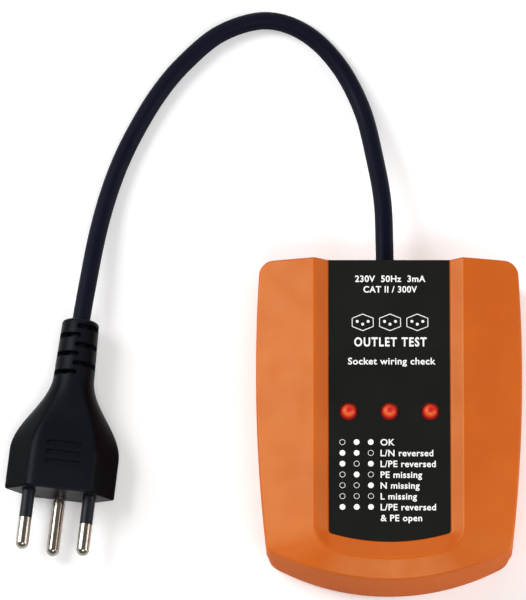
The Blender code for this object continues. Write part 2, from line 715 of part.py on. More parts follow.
def make_cord():
    inner = [(CORD_X, CORD_INNER_Y, CORD_Z), (CORD_X, CORD_INNER_Y + 0.008, CORD_Z)]
    plug_end = [plug_point(0, NECK_TOP), plug_point(0, NECK_TOP - 0.012), plug_point(0, CORD_IN_PLUG)]
    points = smooth_run(inner + list(CORD_ROUTE) + plug_end, CORD_POINT_STEP)
    tube("mains_cord", points, CORD_RADIUS, "black_pvc")
    for word, side, look in CONDUCTORS:
        x = CORD_X + side * 0.0014
        z = CORD_Z + (0.0012 if side == 0 else -0.0007)
        land_x = CORD_X + side * 0.009
        route = [(x, CORD_INNER_Y - GAP, z), (x, CORD_INNER_Y - 0.003, z),
                 (land_x * 0.6 + x * 0.4, 0.0285, 0.0175), (land_x, 0.0215, 0.0178),
                 (land_x, 0.0190, 0.0168), (land_x, 0.0185, BOARD_TOP + GAP)]
        tube(f"case_wire_{word}", smooth_run(route, 0.0018), CONDUCTOR_RADIUS, look)


# ---- plug ------------------------------------------------------------------------

def plug_ring(along, half_width, half_height, roundness, per_side=4):
    """Section of the plug at a distance from the pin face: six-sided, or round at roundness 1."""
    flat = half_width * PLUG_FLAT
    corners = ((half_width, 0), (flat, half_height), (-flat, half_height),
               (-half_width, 0), (-flat, -half_height), (flat, -half_height))
    ring = []
    for k in range(6):
        (ax, az), (bx, bz) = corners[k], corners[(k + 1) % 6]
        for i in range(per_side):
            t = i / per_side
            turn = math.radians(60) * (k + t)
            x = (ax + (bx - ax) * t) * (1 - roundness) + half_width * math.cos(turn) * roundness
            z = (az + (bz - az) * t) * (1 - roundness) + half_height * math.sin(turn) * roundness
            ring.append((x, along, z))
    return ring


def shoulder_rings(first, last, wide, high, neck, steps):
    """Rings from a six-sided section through the plug's shoulder to a round one."""
    rings = []
    for k in range(steps + 1):
        ease = (1 - math.cos(math.pi * k / steps)) / 2
        along = first + (last - first) * k / steps
        rings.append(plug_ring(along, wide + (neck - wide) * ease, high + (neck - high) * ease, ease))
    return rings


def make_plug_body(frame):
    neck_low, neck_high = NECK_RADIUS
    rings = [plug_ring(0.0, PLUG_HALF_WIDTH - 0.0005, PLUG_HALF_HEIGHT - 0.0004, 0.0),
             plug_ring(0.0006, PLUG_HALF_WIDTH, PLUG_HALF_HEIGHT, 0.0)]
    rings += shoulder_rings(*PLUG_SHOULDER, PLUG_HALF_WIDTH, PLUG_HALF_HEIGHT, neck_low, 8)
    rings.append(plug_ring(NECK_TOP - 0.0016, neck_high, neck_high, 1.0))
    rings.append(plug_ring(NECK_TOP, neck_high - 0.0018, neck_high - 0.0018, 1.0))
    body = place("plug_body", loft(bmesh.new(), rings), "black_pvc", frame)

    bore = CORD_RADIUS + GAP
    hollow = [plug_ring(PIN_FACE_THICKNESS, POCKET_HALF_WIDTH, POCKET_HALF_HEIGHT, 0.0)]
    hollow += shoulder_rings(POCKET_END, CORD_IN_PLUG, POCKET_HALF_WIDTH, POCKET_HALF_HEIGHT, bore, 6)
    hollow.append(plug_ring(NECK_TOP + 0.002, bore, bore, 1.0))
    combine(body, cutter("plug_hollow", loft(bmesh.new(), hollow), frame), "DIFFERENCE")
    pin_bores = pin_cylinders(PIN_RADIUS + GAP, -0.005, PIN_FACE_THICKNESS + 0.001)
    combine(body, cutter("pin_bores", pin_bores, frame), "DIFFERENCE")

    slots = bmesh.new()
    for number in range(6):
        side = 1 if number % 2 else -1
        along = SLOT_FIRST + number * SLOT_PITCH / 2
        inner, outer = sorted((-0.0008 * side, 0.009 * side))
        box((inner, along, SLOT_WEB), (outer, along + SLOT_WIDTH, 0.009), slots)
        box((inner, along, -0.009), (outer, along + SLOT_WIDTH, -SLOT_WEB), slots)
    combine(body, cutter("neck_slots", slots, frame), "DIFFERENCE")

    grooves = bmesh.new()
    for number in (-1, 0, 1):
        along = GROOVE_MIDDLE + number * GROOVE_PITCH
        box((-GROOVE_LENGTH / 2, along - GROOVE_WIDTH / 2, PLUG_HALF_HEIGHT - GROOVE_DEPTH),
            (GROOVE_LENGTH / 2, along + GROOVE_WIDTH / 2, PLUG_HALF_HEIGHT + 0.001), grooves)
    combine(body, cutter("grip_grooves", grooves, frame), "DIFFERENCE")


PINS = (("line", -PIN_PITCH / 2, PIN_ROW_HEIGHT), ("neutral", PIN_PITCH / 2, PIN_ROW_HEIGHT),
        ("earth", 0.0, PIN_ROW_HEIGHT - EARTH_OFFSET))


def pin_cylinders(radius, low, high):
    """Cylinders along the three pins."""
    body = bmesh.new()
    for _, x, z in PINS:
        turned(((radius, low), (radius, high)), 16, (x, -z), body=body)
    return along_y(body)


def make_plug_carrier(frame):
    """Block inside the moulding that holds the three pins at their pitch."""
    low, high = PIN_FACE_THICKNESS + GAP, POCKET_END - 0.0005
    half_width, half_height = POCKET_HALF_WIDTH - GAP, POCKET_HALF_HEIGHT - GAP
    rings = [plug_ring(along, half_width, half_height, 0.0) for along in (low, high)]
    carrier = place("plug_carrier", loft(bmesh.new(), rings), "plug_carrier", frame)
    bores = pin_cylinders(PIN_NECK_RADIUS + GAP, -0.005, 0.030)
    combine(carrier, cutter("carrier_bores", bores, frame), "DIFFERENCE")


def make_pin(word, x, z, frame):
    """Round pin with a rounded tip; live pins are necked down under their sleeves."""
    tip = -PIN_LENGTH
    centre = tip + PIN_RADIUS
    turns = [math.pi / 2 * k / 4 for k in range(1, 5)]
    profile = [(0.0003, tip)]
    profile += [(PIN_RADIUS * math.sin(t), centre - PIN_RADIUS * math.cos(t)) for t in turns]
    full_to = PIN_FACE_THICKNESS - GAP if word == "earth" else -SLEEVE_LENGTH - GAP
    profile += [(PIN_RADIUS, full_to), (PIN_NECK_RADIUS, full_to), (PIN_NECK_RADIUS, PIN_TAIL)]
    pin = place(f"{word}_pin", along_y(turned(profile, 16)), "nickel", frame, True)
    pin.location = (x, 0, z)
    if word != "earth":
        bore, end = PIN_NECK_RADIUS + GAP, PIN_FACE_THICKNESS - GAP
        ring = ((bore, -SLEEVE_LENGTH), (PIN_RADIUS, -SLEEVE_LENGTH), (PIN_RADIUS, end), (bore, end))
        tube_body = along_y(turned(ring, 16, closed=True))
        sleeve = place(f"{word}_pin_sleeve", tube_body, "plug_carrier", frame, True)
        sleeve.location = (x, 0, z)


def make_plug():
    frame = bpy.data.objects.new("plug_frame", None)
    bpy.context.scene.collection.objects.link(frame)
    frame.location = PLUG_PLACE
    frame.rotation_euler = (0, 0, PLUG_TURN)
    make_plug_body(frame)
    make_plug_carrier(frame)
    for word, x, z in PINS:
        make_pin(word, x, z, frame)
    ends = dict(zip(("brown", "blue", "earth"), PINS))
    for word, side, look in CONDUCTORS:
        _, x, z = ends[word]
        near_x = side * 0.0014
        near_z = 0.0007 if side else -0.0012
        route = [(x, PIN_TAIL + GAP, z), (x, PIN_TAIL + 0.002, z * 0.9),
                 (x * 0.45 + near_x * 0.55, 0.0235, z * 0.45), (near_x, 0.0285, near_z),
                 (near_x, CORD_IN_PLUG - GAP, near_z)]
        tube(f"plug_wire_{word}", smooth_run(route, 0.002), CONDUCTOR_RADIUS, look, frame)


def main():
    clear_scene()
    make_top_shell()
    make_bottom_shell()
    make_label()
    make_screws()
    make_board()
    for word, x in LAMPS:
        make_lamp(word, x)
    make_components()
    make_grommet()
    make_clamp()
    make_cord()
    make_plug()


main()
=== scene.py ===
"""Looks of the hand-held socket tester with its lead and moulded plug.

The tester lies on its back. +Z comes out of its front face and +Y points at
the end where the cord leaves. Sizes are in metres.
"""

import math

import bmesh
import bpy
from mathutils import Matrix, Vector


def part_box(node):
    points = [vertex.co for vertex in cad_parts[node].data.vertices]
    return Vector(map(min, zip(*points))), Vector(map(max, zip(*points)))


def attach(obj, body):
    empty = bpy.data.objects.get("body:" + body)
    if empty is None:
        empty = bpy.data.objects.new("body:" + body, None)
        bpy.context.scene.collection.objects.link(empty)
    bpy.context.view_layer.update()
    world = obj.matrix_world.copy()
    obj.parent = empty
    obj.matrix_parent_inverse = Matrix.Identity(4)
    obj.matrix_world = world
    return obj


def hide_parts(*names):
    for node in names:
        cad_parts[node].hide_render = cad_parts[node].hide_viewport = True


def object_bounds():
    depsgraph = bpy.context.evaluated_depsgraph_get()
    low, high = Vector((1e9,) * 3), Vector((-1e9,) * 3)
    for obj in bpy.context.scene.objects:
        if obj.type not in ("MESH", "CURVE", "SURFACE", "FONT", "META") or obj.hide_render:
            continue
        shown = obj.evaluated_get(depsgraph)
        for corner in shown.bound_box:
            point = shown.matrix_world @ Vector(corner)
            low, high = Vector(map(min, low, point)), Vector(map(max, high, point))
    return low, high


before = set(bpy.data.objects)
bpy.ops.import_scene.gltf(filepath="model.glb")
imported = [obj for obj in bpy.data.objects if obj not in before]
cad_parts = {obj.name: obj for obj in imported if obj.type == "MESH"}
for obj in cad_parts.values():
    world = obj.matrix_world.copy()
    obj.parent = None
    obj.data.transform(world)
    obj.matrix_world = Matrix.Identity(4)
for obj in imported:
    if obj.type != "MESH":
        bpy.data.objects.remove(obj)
cad_box = [list(corner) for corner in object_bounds()]

# ---- sizes -------------------------------------------------------------------

GAP = 0.0003
TINY = 1e-6                 # weld distance, and slack when places are compared
case_low, case_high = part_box("bottom_shell")
face_low, face_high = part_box("top_shell")
label_low, label_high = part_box("front_label")
grommet_low, grommet_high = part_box("cord_grommet")

CORD_END_Y = case_high[1]
LOWER_END_Y = case_low[1]
HALF_WIDTH = case_high[0]
WIDEST_Y = 0.017
SIDE_RADIUS = 0.493
LOWER_END_RADIUS = 0.075
LOWER_CORNER_RADIUS = 0.003
CORD_CORNER_RADIUS = 0.0045
SMALLEST_CORNER = 0.0005
LOWER_CENTRE = (0.0, LOWER_END_Y + LOWER_END_RADIUS)
SIDE_CENTRE = (HALF_WIDTH - SIDE_RADIUS, WIDEST_Y)

PARTING_Z = face_low[2] - GAP / 2
RIDGE_Z = face_high[2]
SHOULDER_SLOPE = 0.33
EDGE_ROUND = 0.0007
FLOOR_Z = label_low[2] - GAP
WALL = 0.0022
RIDGE_LINE = (0.0231, -0.0450, 0.009)      # half width, level of the foot, corner radius
FOOT_LINE = (0.0194, -0.0396, 0.0014)
LIP_LINE = (0.0190, -0.0392, 0.0011)
LABEL_LINE = (0.0188, -0.0390, 0.0010)
FLOOR_MARGIN_LINE = (0.0183, -0.0385, 0.0006)
LIP_Z = label_high[2] - 0.0001
RIDGE_SOFTNESS = 0.0006
FOOT_SOFTNESS = 0.00025

CORD_RADIUS = 0.0028
CORD_HOLE_RADIUS = 0.0048
BASE_THICKNESS = 0.0022
LAMP_XS = (-0.0127, 0.0, 0.0127)
LAMP_Y = 0.0025
LAMP_RADIUS = 0.0025
LAMP_HEIGHT = 0.0086
LAMP_HOLE_RADIUS = 0.0028
CASE_SCREWS = ((-0.032, 0.040), (0.032, 0.040), (-0.030, -0.033), (0.030, -0.033))
WELL_RADIUS = 0.0031
HEAD_SEAT_Z = 0.0067
CAP_SHARE = 0.729           # cap height of the letters in shares of their size
INK_LIFT = 0.00001
INK_THICKNESS = 0.00003
SMALL_TEXT = 0.0021         # cap height
TEXT_MIDDLE = 0.0004
SIGN_XS = (-0.0082, 0.0003, 0.0088)
SIGN_Y = 0.0311
CHART_TOP = -0.0073
CHART_PITCH = 0.00345
CHART_TEXT_X = -0.0028
CHART_DOT_XS = (-0.0146, -0.0102, -0.0058)
CHART_DOT_RADIUS = 0.0009
CORD_X = (grommet_low[0] + grommet_high[0]) / 2
CORD_Z = (grommet_low[2] + grommet_high[2]) / 2

PLUG_PLACE = Vector((-0.1027, -0.0194, 0.0079))
PLUG_TURN = math.radians(-6.7)
PLUG_HALF_WIDTH = 0.0173
PLUG_HALF_HEIGHT = 0.0078
PLUG_FLAT = 0.545
PLUG_SHOULDER = (0.0125, 0.038)
NECK_RADIUS = (0.0064, 0.0058)
NECK_TOP = 0.0566
SLOT_PITCH = 0.00605
SLOT_WIDTH = 0.0017
SLOT_FIRST = 0.0374
SLOT_WEB = 0.0010           # half thickness of the web left at the neck's sides
GROOVE_MIDDLE = 0.0116
GROOVE_PITCH = 0.003
PIN_FACE_THICKNESS = 0.0022
POCKET = (0.0148, 0.0066)
POCKET_END = 0.0125
CORD_IN_PLUG = 0.031
PIN_RADIUS = 0.0020
PIN_NECK_RADIUS = 0.0014
PIN_LENGTH = 0.019
PIN_TAIL = 0.0140
SLEEVE_LENGTH = 0.0089
PINS = (("line", -0.0095, 0.0016), ("neutral", 0.0095, 0.0016), ("earth", 0.0, -0.0034))

CORD_ROUTE = (
    (-0.0011, 0.0355, 0.0140), (-0.0011, 0.0435, 0.0140), (-0.0011, 0.0515, 0.0140),
    (-0.0012, 0.0600, 0.0138), (-0.0017, 0.0740, 0.0122), (-0.0040, 0.0890, 0.0085),
    (-0.0080, 0.1065, 0.0045), (-0.0155, 0.1216, 0.0031), (-0.0260, 0.1322, 0.0029),
    (-0.0385, 0.1362, 0.0029), (-0.0525, 0.1320, 0.0029), (-0.0640, 0.1222, 0.0029),
    (-0.0722, 0.1120, 0.0029), (-0.0792, 0.1000, 0.0029), (-0.0845, 0.0885, 0.0030),
    (-0.0885, 0.0765, 0.0036), (-0.0915, 0.0640, 0.0050), (-0.0938, 0.0510, 0.0067),
)


# ---- camera, lights and floor --------------------------------------------------

def look_from(item, place, target):
    item.location = place
    item.rotation_euler = (Vector(target) - Vector(place)).to_track_quat("-Z", "Y").to_euler()


def add_camera():
    """Seen from the front, leaning a little towards the lower end."""
    low, high = (Vector(corner) for corner in cad_box)
    aim = (low + high) / 2 + Vector((0.0, -0.0021, 0.0))
    lean = math.radians(15)
    distance = 3.0
    data = bpy.data.cameras.new("camera")
    data.lens = 576
    camera = bpy.data.objects.new("camera", data)
    bpy.context.scene.collection.objects.link(camera)
    look_from(camera, aim + distance * Vector((0, -math.sin(lean), math.cos(lean))), aim)
    bpy.context.scene.camera = camera
    return aim


LIGHTS = (                  # name, place from the aim, size, power
    ("key_left", (-0.75, 0.30, 0.72), (0.60, 0.60), 7.9),
    ("low_left", (-1.00, 0.26, 0.40), (0.25, 0.40), 2.8),
    ("fill_right", (1.00, -0.15, 0.42), (0.5, 0.9), 7.2),
    ("fill_near", (0.10, -0.55, 0.95), (0.5, 0.3), 3.7),
    ("fill_far", (0.05, 1.05, 0.55), (1.0, 0.5), 1.8),
)


def add_light(name, place, target, size, power):
    data = bpy.data.lights.new(name, "AREA")
    data.shape = "RECTANGLE"
    data.size, data.size_y = size
    data.energy = power
    light = bpy.data.objects.new(name, data)
    bpy.context.scene.collection.objects.link(light)
    look_from(light, place, target)


def add_stage(aim):
    body = bmesh.new()
    bmesh.ops.create_grid(body, x_segments=1, y_segments=1, size=3.0)
    floor = mesh_object("studio_floor", body)
    floor_paint, tree, shader = shaded("studio_floor_paint", (0.93, 0.93, 0.93), 0.9, specular=0.2)
    shader.inputs["Emission Color"].default_value = (1.0, 1.0, 1.0, 1.0)
    shader.inputs["Emission Strength"].default_value = 0.14
    floor.data.materials.append(floor_paint)
    for name, offset, size, power in LIGHTS:
        add_light(name, aim + Vector(offset), aim, size, power)
    world = bpy.data.worlds.new("studio")
    world.use_nodes = True
    world.node_tree.nodes["Background"].inputs["Color"].default_value = (1, 1, 1, 1)
    world.node_tree.nodes["Background"].inputs["Strength"].default_value = 0.25
    bpy.context.scene.world = world
    bpy.context.scene.view_settings.view_transform = "Standard"


# ---- materials -------------------------------------------------------------------

def shaded(name, colour, roughness, metallic=0.0, specular=0.5):
    made = bpy.data.materials.new(name)
    made.use_nodes = True
    tree = made.node_tree
    shader = tree.nodes["Principled BSDF"]
    shader.inputs["Base Color"].default_value = (*colour, 1.0)
    shader.inputs["Roughness"].default_value = roughness
    shader.inputs["Metallic"].default_value = metallic
    shader.inputs["Specular IOR Level"].default_value = specular
    return made, tree, shader


def add_node(tree, kind, inputs=None, **settings):
    made = tree.nodes.new(kind)
    for key, value in settings.items():
        setattr(made, key, value)
    for key, value in (inputs or {}).items():
        if isinstance(value, bpy.types.NodeSocket):
            tree.links.new(value, made.inputs[key])
        else:
            made.inputs[key].default_value = value
    return made


def places_of(tree, kind="Object"):
    return add_node(tree, "ShaderNodeTexCoord").outputs[kind]


def noise(tree, scale, detail=3.0, vector=None):
    vector = vector or places_of(tree)
    made = add_node(tree, "ShaderNodeTexNoise", {"Vector": vector, "Scale": scale, "Detail": detail})
    return made.outputs["Fac"]


def ramp(tree, factor, stops, stepped=False):
    """Colour ramp through (position, colour) stops."""
    made = add_node(tree, "ShaderNodeValToRGB", {"Fac": factor})
    made.color_ramp.interpolation = "CONSTANT" if stepped else "LINEAR"
    points = made.color_ramp.elements
    while len(points) < len(stops):
        points.new(0.5)
    for point, (position, colour) in zip(points, stops):
        point.position = position
        point.color = (*colour, 1.0)
    return made.outputs["Color"]


def spread(tree, factor, low, high):
    """A noise spread over the span from low to high."""
    made = add_node(tree, "ShaderNodeMapRange", {"Value": factor, "From Min": 0.3, "From Max": 0.7,
                                                 "To Min": low, "To Max": high})
    return made.outputs["Result"]


def add_bump(tree, shader, height, strength, distance):
    made = add_node(tree, "ShaderNodeBump", {"Height": height, "Strength": strength, "Distance": distance})
    tree.links.new(made.outputs["Normal"], shader.inputs["Normal"])


# colour of the painted shade on faces turned sideways
PAINTED_SIDE_SHADE_COLOUR = (0.0006, 0.0008, 0.0018)


def by_facing(tree, axis, first, last, low, high):
    """A value that goes from low to high as faces turn towards an axis."""
    normal = add_node(tree, "ShaderNodeNewGeometry").outputs["Normal"]
    along = add_node(tree, "ShaderNodeSeparateXYZ", {"Vector": normal}).outputs[axis]
    facing = add_node(tree, "ShaderNodeMath", {0: along}, operation="ABSOLUTE").outputs["Value"]
    made = add_node(tree, "ShaderNodeMapRange", {"Value": facing, "From Min": first, "From Max": last,
                                                 "To Min": low, "To Max": high})
    return made.outputs["Result"]


def moulded(name, dark, light, roughness, grain, bump, specular=0.5, sheen_tint=(1.0, 1.0, 1.0),
            wall_roughness=0.0, painted_side_shade=0.0):
    """Moulded plastic: faint cloudy colour, uneven gloss and a fine spark-eroded grain.

    Upright walls can be coarser, and faces turned sideways get painted shade: their colour is darkened
    towards a dark blue-black.
    """
    made, tree, shader = shaded(name, light, sum(roughness) / 2, specular=specular)
    shader.inputs["Specular Tint"].default_value = (*sheen_tint, 1.0)
    colour = ramp(tree, noise(tree, 45.0, 2.0), ((0.3, dark), (0.7, light)))
    # painted shade: faces turned along X are darkened in their base colour
    if painted_side_shade:
        share = by_facing(tree, "X", 0.30, 0.60, 0.0, painted_side_shade)
        colour = blend_colours(tree, share, colour, (*PAINTED_SIDE_SHADE_COLOUR, 1.0))
    tree.links.new(colour, shader.inputs["Base Color"])
    gloss = spread(tree, noise(tree, 160.0, 2.0), *roughness)
    if wall_roughness:
        coarse = by_facing(tree, "Z", 0.25, 0.7, wall_roughness, 0.0)
        gloss = add_node(tree, "ShaderNodeMath", {0: gloss, 1: coarse}, operation="MAXIMUM").outputs["Value"]
    tree.links.new(gloss, shader.inputs["Roughness"])
    add_bump(tree, shader, noise(tree, grain, 4.0), bump, 0.00008)
    return made


def plated(name, dark, light, roughness):
    """Plated metal with fine wear."""
    made, tree, shader = shaded(name, light, sum(roughness) / 2, metallic=1.0)
    cloud = noise(tree, 350.0, 4.0)
    tree.links.new(ramp(tree, cloud, ((0.35, dark), (0.65, light))), shader.inputs["Base Color"])
    tree.links.new(spread(tree, noise(tree, 900.0, 3.0), *roughness), shader.inputs["Roughness"])
    add_bump(tree, shader, noise(tree, 2600.0, 3.0), 0.04, 0.000004)
    return made


def blend_colours(tree, share, first, second):
    made = add_node(tree, "ShaderNodeMix", {0: share, 6: first, 7: second}, data_type="RGBA")
    return made.outputs[2]


def lamp_material():
    """Lit red lamp: a small hot middle, a bright crescent on its lower left and a deep red rim."""
    made, tree, shader = shaded("lit_red_lamp", (0.10, 0.002, 0.002), 0.35, specular=0.16)
    across = places_of(tree, "UV")
    middle = add_node(tree, "ShaderNodeVectorMath", {0: across}, operation="LENGTH").outputs["Value"]
    shifted = add_node(tree, "ShaderNodeMapping", {"Vector": across, "Location": (-0.30, -0.36, 0.0)})
    aside = add_node(tree, "ShaderNodeVectorMath", {0: shifted.outputs["Vector"]}, operation="LENGTH")
    red = ramp(tree, middle, (
        (0.0, (0.80, 0.022, 0.036)), (0.10, (0.72, 0.018, 0.026)), (0.20, (0.52, 0.006, 0.007)),
        (0.45, (0.62, 0.032, 0.014)), (0.80, (0.48, 0.022, 0.014)), (1.0, (0.16, 0.006, 0.005))))
    ring = ramp(tree, middle, (
        (0.18, (0, 0, 0)), (0.36, (1, 1, 1)), (0.56, (0.8, 0.8, 0.8)), (0.82, (0, 0, 0))))
    side = ramp(tree, aside.outputs["Value"], ((0.30, (0, 0, 0)), (0.85, (1, 1, 1))))
    share = add_node(tree, "ShaderNodeMath", {0: ring, 1: side}, operation="MULTIPLY").outputs["Value"]
    glow = blend_colours(tree, share, red, (0.80, 0.155, 0.026, 1.0))
    tree.links.new(glow, shader.inputs["Emission Color"])
    shader.inputs["Emission Strength"].default_value = 0.9
    return made


def sideways(tree):
    return add_node(tree, "ShaderNodeSeparateXYZ", {"Vector": places_of(tree)}).outputs["X"]


def banded(along, tree, shader, bands, half_length):
    """Axial component: coloured bands on its body and tinned leads beyond the body's ends."""
    share = add_node(tree, "ShaderNodeMapRange", {"Value": along, "From Min": -half_length * 2,
                                                  "From Max": half_length * 2}).outputs["Result"]
    lead = (0.62, 0.62, 0.60)
    stops = [(0.0, lead)] + [(0.5 + place / (4 * half_length), colour) for place, colour in bands]
    stops.append((0.75, lead))
    tree.links.new(ramp(tree, share, stops, stepped=True), shader.inputs["Base Color"])
    off_body = ramp(tree, share, ((0.0, (1, 1, 1)), (0.25, (0, 0, 0)), (0.75, (1, 1, 1))), stepped=True)
    tree.links.new(off_body, shader.inputs["Metallic"])
    tree.links.new(spread(tree, noise(tree, 900.0), 0.32, 0.46), shader.inputs["Roughness"])
    add_bump(tree, shader, noise(tree, 1800.0), 0.1, 0.00005)


def resistor_finish():
    made, tree, shader = shaded("beige_resistor_coat", (0.52, 0.38, 0.22), 0.4)
    apart = add_node(tree, "ShaderNodeMath", {0: sideways(tree)}, operation="ABSOLUTE").outputs["Value"]
    along = add_node(tree, "ShaderNodeMath", {0: apart, 1: 0.0085}, operation="SUBTRACT").outputs["Value"]
    coat, brown, black, orange, gold = ((0.52, 0.38, 0.22), (0.12, 0.04, 0.015), (0.01, 0.01, 0.01),
                                        (0.75, 0.20, 0.02), (0.55, 0.38, 0.12))
    bands = ((-0.0033, coat), (-0.0024, brown), (-0.0018, coat), (-0.0011, black), (-0.0005, coat),
             (0.0002, orange), (0.0008, coat), (0.0019, gold), (0.0025, coat))
    banded(along, tree, shader, bands, 0.0033)
    return made


def diode_finish():
    made, tree, shader = shaded("black_diode_case", (0.012, 0.012, 0.012), 0.35)
    along = add_node(tree, "ShaderNodeMath", {0: sideways(tree), 1: 0.00635, 2: -0.00635},
                     operation="WRAP").outputs["Value"]
    case, cathode = (0.012, 0.012, 0.012), (0.62, 0.62, 0.60)
    banded(along, tree, shader, ((-0.0024, case), (0.0011, cathode), (0.0017, case)), 0.0024)
    return made


def board_finish():
    """Green solder mask with paler copper tracks under it."""
    made, tree, shader = shaded("green_solder_mask", (0.010, 0.10, 0.035), 0.35)
    tracks = add_node(tree, "ShaderNodeTexBrick", {
        "Vector": places_of(tree), "Scale": 90.0, "Mortar Size": 0.05, "Color1": (0, 0, 0, 1),
        "Color2": (0, 0, 0, 1), "Mortar": (1, 1, 1, 1)}).outputs["Color"]
    tree.links.new(ramp(tree, tracks, ((0.3, (0.008, 0.085, 0.030)), (0.7, (0.020, 0.17, 0.055)))),
                   shader.inputs["Base Color"])
    tree.links.new(spread(tree, noise(tree, 300.0), 0.28, 0.42), shader.inputs["Roughness"])
    add_bump(tree, shader, tracks, 0.3, 0.00004)
    return made


def earth_wire_finish():
    """Green insulation with a yellow stripe wound round it."""
    made, tree, shader = shaded("green_yellow_insulation", (0.02, 0.24, 0.03), 0.42)
    stripes = add_node(tree, "ShaderNodeTexWave", {"Vector": places_of(tree), "Scale": 160.0,
                                                   "Distortion": 0.6}).outputs["Fac"]
    tree.links.new(ramp(tree, stripes, ((0.45, (0.02, 0.24, 0.03)), (0.55, (0.75, 0.60, 0.03)))),
                   shader.inputs["Base Color"])
    tree.links.new(spread(tree, noise(tree, 500.0), 0.36, 0.48), shader.inputs["Roughness"])
    return made


# ---- shaping helpers -----------------------------------------------------------------

def mesh_object(name, body):
    mesh = bpy.data.meshes.new(name)
    body.to_mesh(mesh)
    body.free()
    made = bpy.data.objects.new(name, mesh)
    bpy.context.scene.collection.objects.link(made)
    return made


def face_outwards(body):
    """Weld a body's seams and turn its faces outwards."""
    bmesh.ops.remove_doubles(body, verts=body.verts, dist=TINY)
    bmesh.ops.recalc_face_normals(body, faces=body.faces)
    if body.calc_volume(signed=True) < 0:
        bmesh.ops.reverse_faces(body, faces=body.faces)


def show(name, body, finish, replaced=(), sharp=35, even=True):
    """A finished piece of the tester, with soft shading between its sharp edges."""
    face_outwards(body)
    made = mesh_object(name, body)
    made.data.shade_smooth()
    made.data.set_sharp_from_angle(angle=math.radians(sharp))
    made.data.materials.append(finish)
    if even:
        weights = made.modifiers.new("even_shading", "WEIGHTED_NORMAL")
        weights.keep_sharp = True
    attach(made, "root")
    if replaced:
        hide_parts(*replaced)
    return made


def carve(body, tool):
    """Take the tool body away from a closed body."""
    bmesh.ops.recalc_face_normals(tool, faces=tool.faces)
    face_outwards(body)
    blank = mesh_object("blank", body)
    knife = mesh_object("knife", tool)
    step = blank.modifiers.new("cut", "BOOLEAN")
    step.operation = "DIFFERENCE"
    step.solver = "MANIFOLD"
    step.object = knife
    ready = blank.evaluated_get(bpy.context.evaluated_depsgraph_get())
    cut = bmesh.new()
    cut.from_mesh(ready.to_mesh())
    for item in (blank, knife):
        spare = item.data
        bpy.data.objects.remove(item, do_unlink=True)
        bpy.data.meshes.remove(spare)
    return cut


def moved(body, matrix):
    bmesh.ops.transform(body, matrix=matrix, verts=body.verts)
    return body


def join(body, other):
    """Add the other body's shapes to body."""
    spare = bpy.data.meshes.new("spare")
    other.to_mesh(spare)
    other.free()
    body.from_mesh(spare)
    bpy.data.meshes.remove(spare)
    return body


def chain(body, start, runs):
    """Draw joined runs of edges: arcs about a centre, or straight runs where the centre is None."""
    known = set(body.edges)
    tip = body.verts.new((*start, 0.0))
    for centre, turn, steps in runs:
        if centre is None:
            for k in range(1, steps + 1):
                first, last = (Vector((*point, 0.0)) for point in turn)
                grown = bmesh.ops.extrude_vert_indiv(body, verts=[tip])
                tip = grown["verts"][0]
                tip.co = first.lerp(last, k / steps)
        else:
            made = bmesh.ops.spin(body, geom=[tip], cent=(*centre, 0.0), axis=(0, 0, 1), angle=turn,
                                  steps=steps, use_merge=False)
            tip = verts_among(made["geom_last"])[0]
    return [edge for edge in body.edges if edge not in known]


def turned(start, runs, steps=48):
    """Body of revolution about +Y from a profile whose x is the radius."""
    body = bmesh.new()
    chain(body, start, runs)
    bmesh.ops.spin(body, geom=body.verts[:] + body.edges[:], cent=(0, 0, 0), axis=(0, 1, 0),
                   angle=2 * math.pi, steps=steps, use_merge=True)
    bmesh.ops.remove_doubles(body, verts=body.verts, dist=TINY)
    bmesh.ops.recalc_face_normals(body, faces=body.faces)
    return body


def line(*points):
    """Straight runs of a profile through the points."""
    return [(None, pair, 1) for pair in zip(points, points[1:])]


def cylinder(radius, low, high, place, steps=32):
    """Cylinder along +Y from low to high, about a place in the XZ plane."""
    body = turned((0, low), line((0, low), (radius, low), (radius, high), (0, high)), steps)
    return moved(body, Matrix.Translation((place[0], 0.0, place[1])))


UPRIGHT = Matrix.Rotation(math.radians(90), 4, "X")


def rounded_bar(low, high, radius, segments=8):
    """Block whose four upright edges are rounded."""
    body = bmesh.new()
    size = [b - a for a, b in zip(low, high)]
    middle = [(a + b) / 2 for a, b in zip(low, high)]
    bmesh.ops.create_cube(body, size=1.0, matrix=Matrix.Translation(middle) @ Matrix.Diagonal((*size, 1.0)))
    upright = [edge for edge in body.edges if abs(edge.verts[0].co.z - edge.verts[1].co.z) > size[2] / 2]
    bmesh.ops.bevel(body, geom=upright, offset=radius, segments=segments, profile=0.5, affect="EDGES",
                    material=-1)
    return body


def verts_of(edges):
    return {vert for edge in edges for vert in edge.verts}


def verts_among(items):
    return [item for item in items if isinstance(item, bmesh.types.BMVert)]


def fill(body, edges):
    """Flat faces between the edges, holes left open."""
    bmesh.ops.triangle_fill(body, use_beauty=True, use_dissolve=False, edges=edges)


def circle(body, x, y, z, radius, segments=40):
    made = bmesh.ops.create_circle(body, segments=segments, radius=radius,
                                   matrix=Matrix.Translation((x, y, z)))
    return list({edge for vert in made["verts"] for edge in vert.link_edges})


# ---- case lines ------------------------------------------------------------------------

def direction(centre, point):
    return math.atan2(point[1] - centre[1], point[0] - centre[0])


def circles_meet(first, first_radius, second, second_radius):
    """Lower right meeting point of two circles."""
    apart = math.dist(first, second)
    along = (first_radius ** 2 - second_radius ** 2 + apart ** 2) / (2 * apart)
    across = math.sqrt(first_radius ** 2 - along ** 2)
    ux, uy = (second[0] - first[0]) / apart, (second[1] - first[1]) / apart
    foot = (first[0] + along * ux, first[1] + along * uy)
    choices = ((foot[0] - across * uy, foot[1] + across * ux), (foot[0] + across * uy, foot[1] - across * ux))
    return min(choices, key=lambda point: point[1])


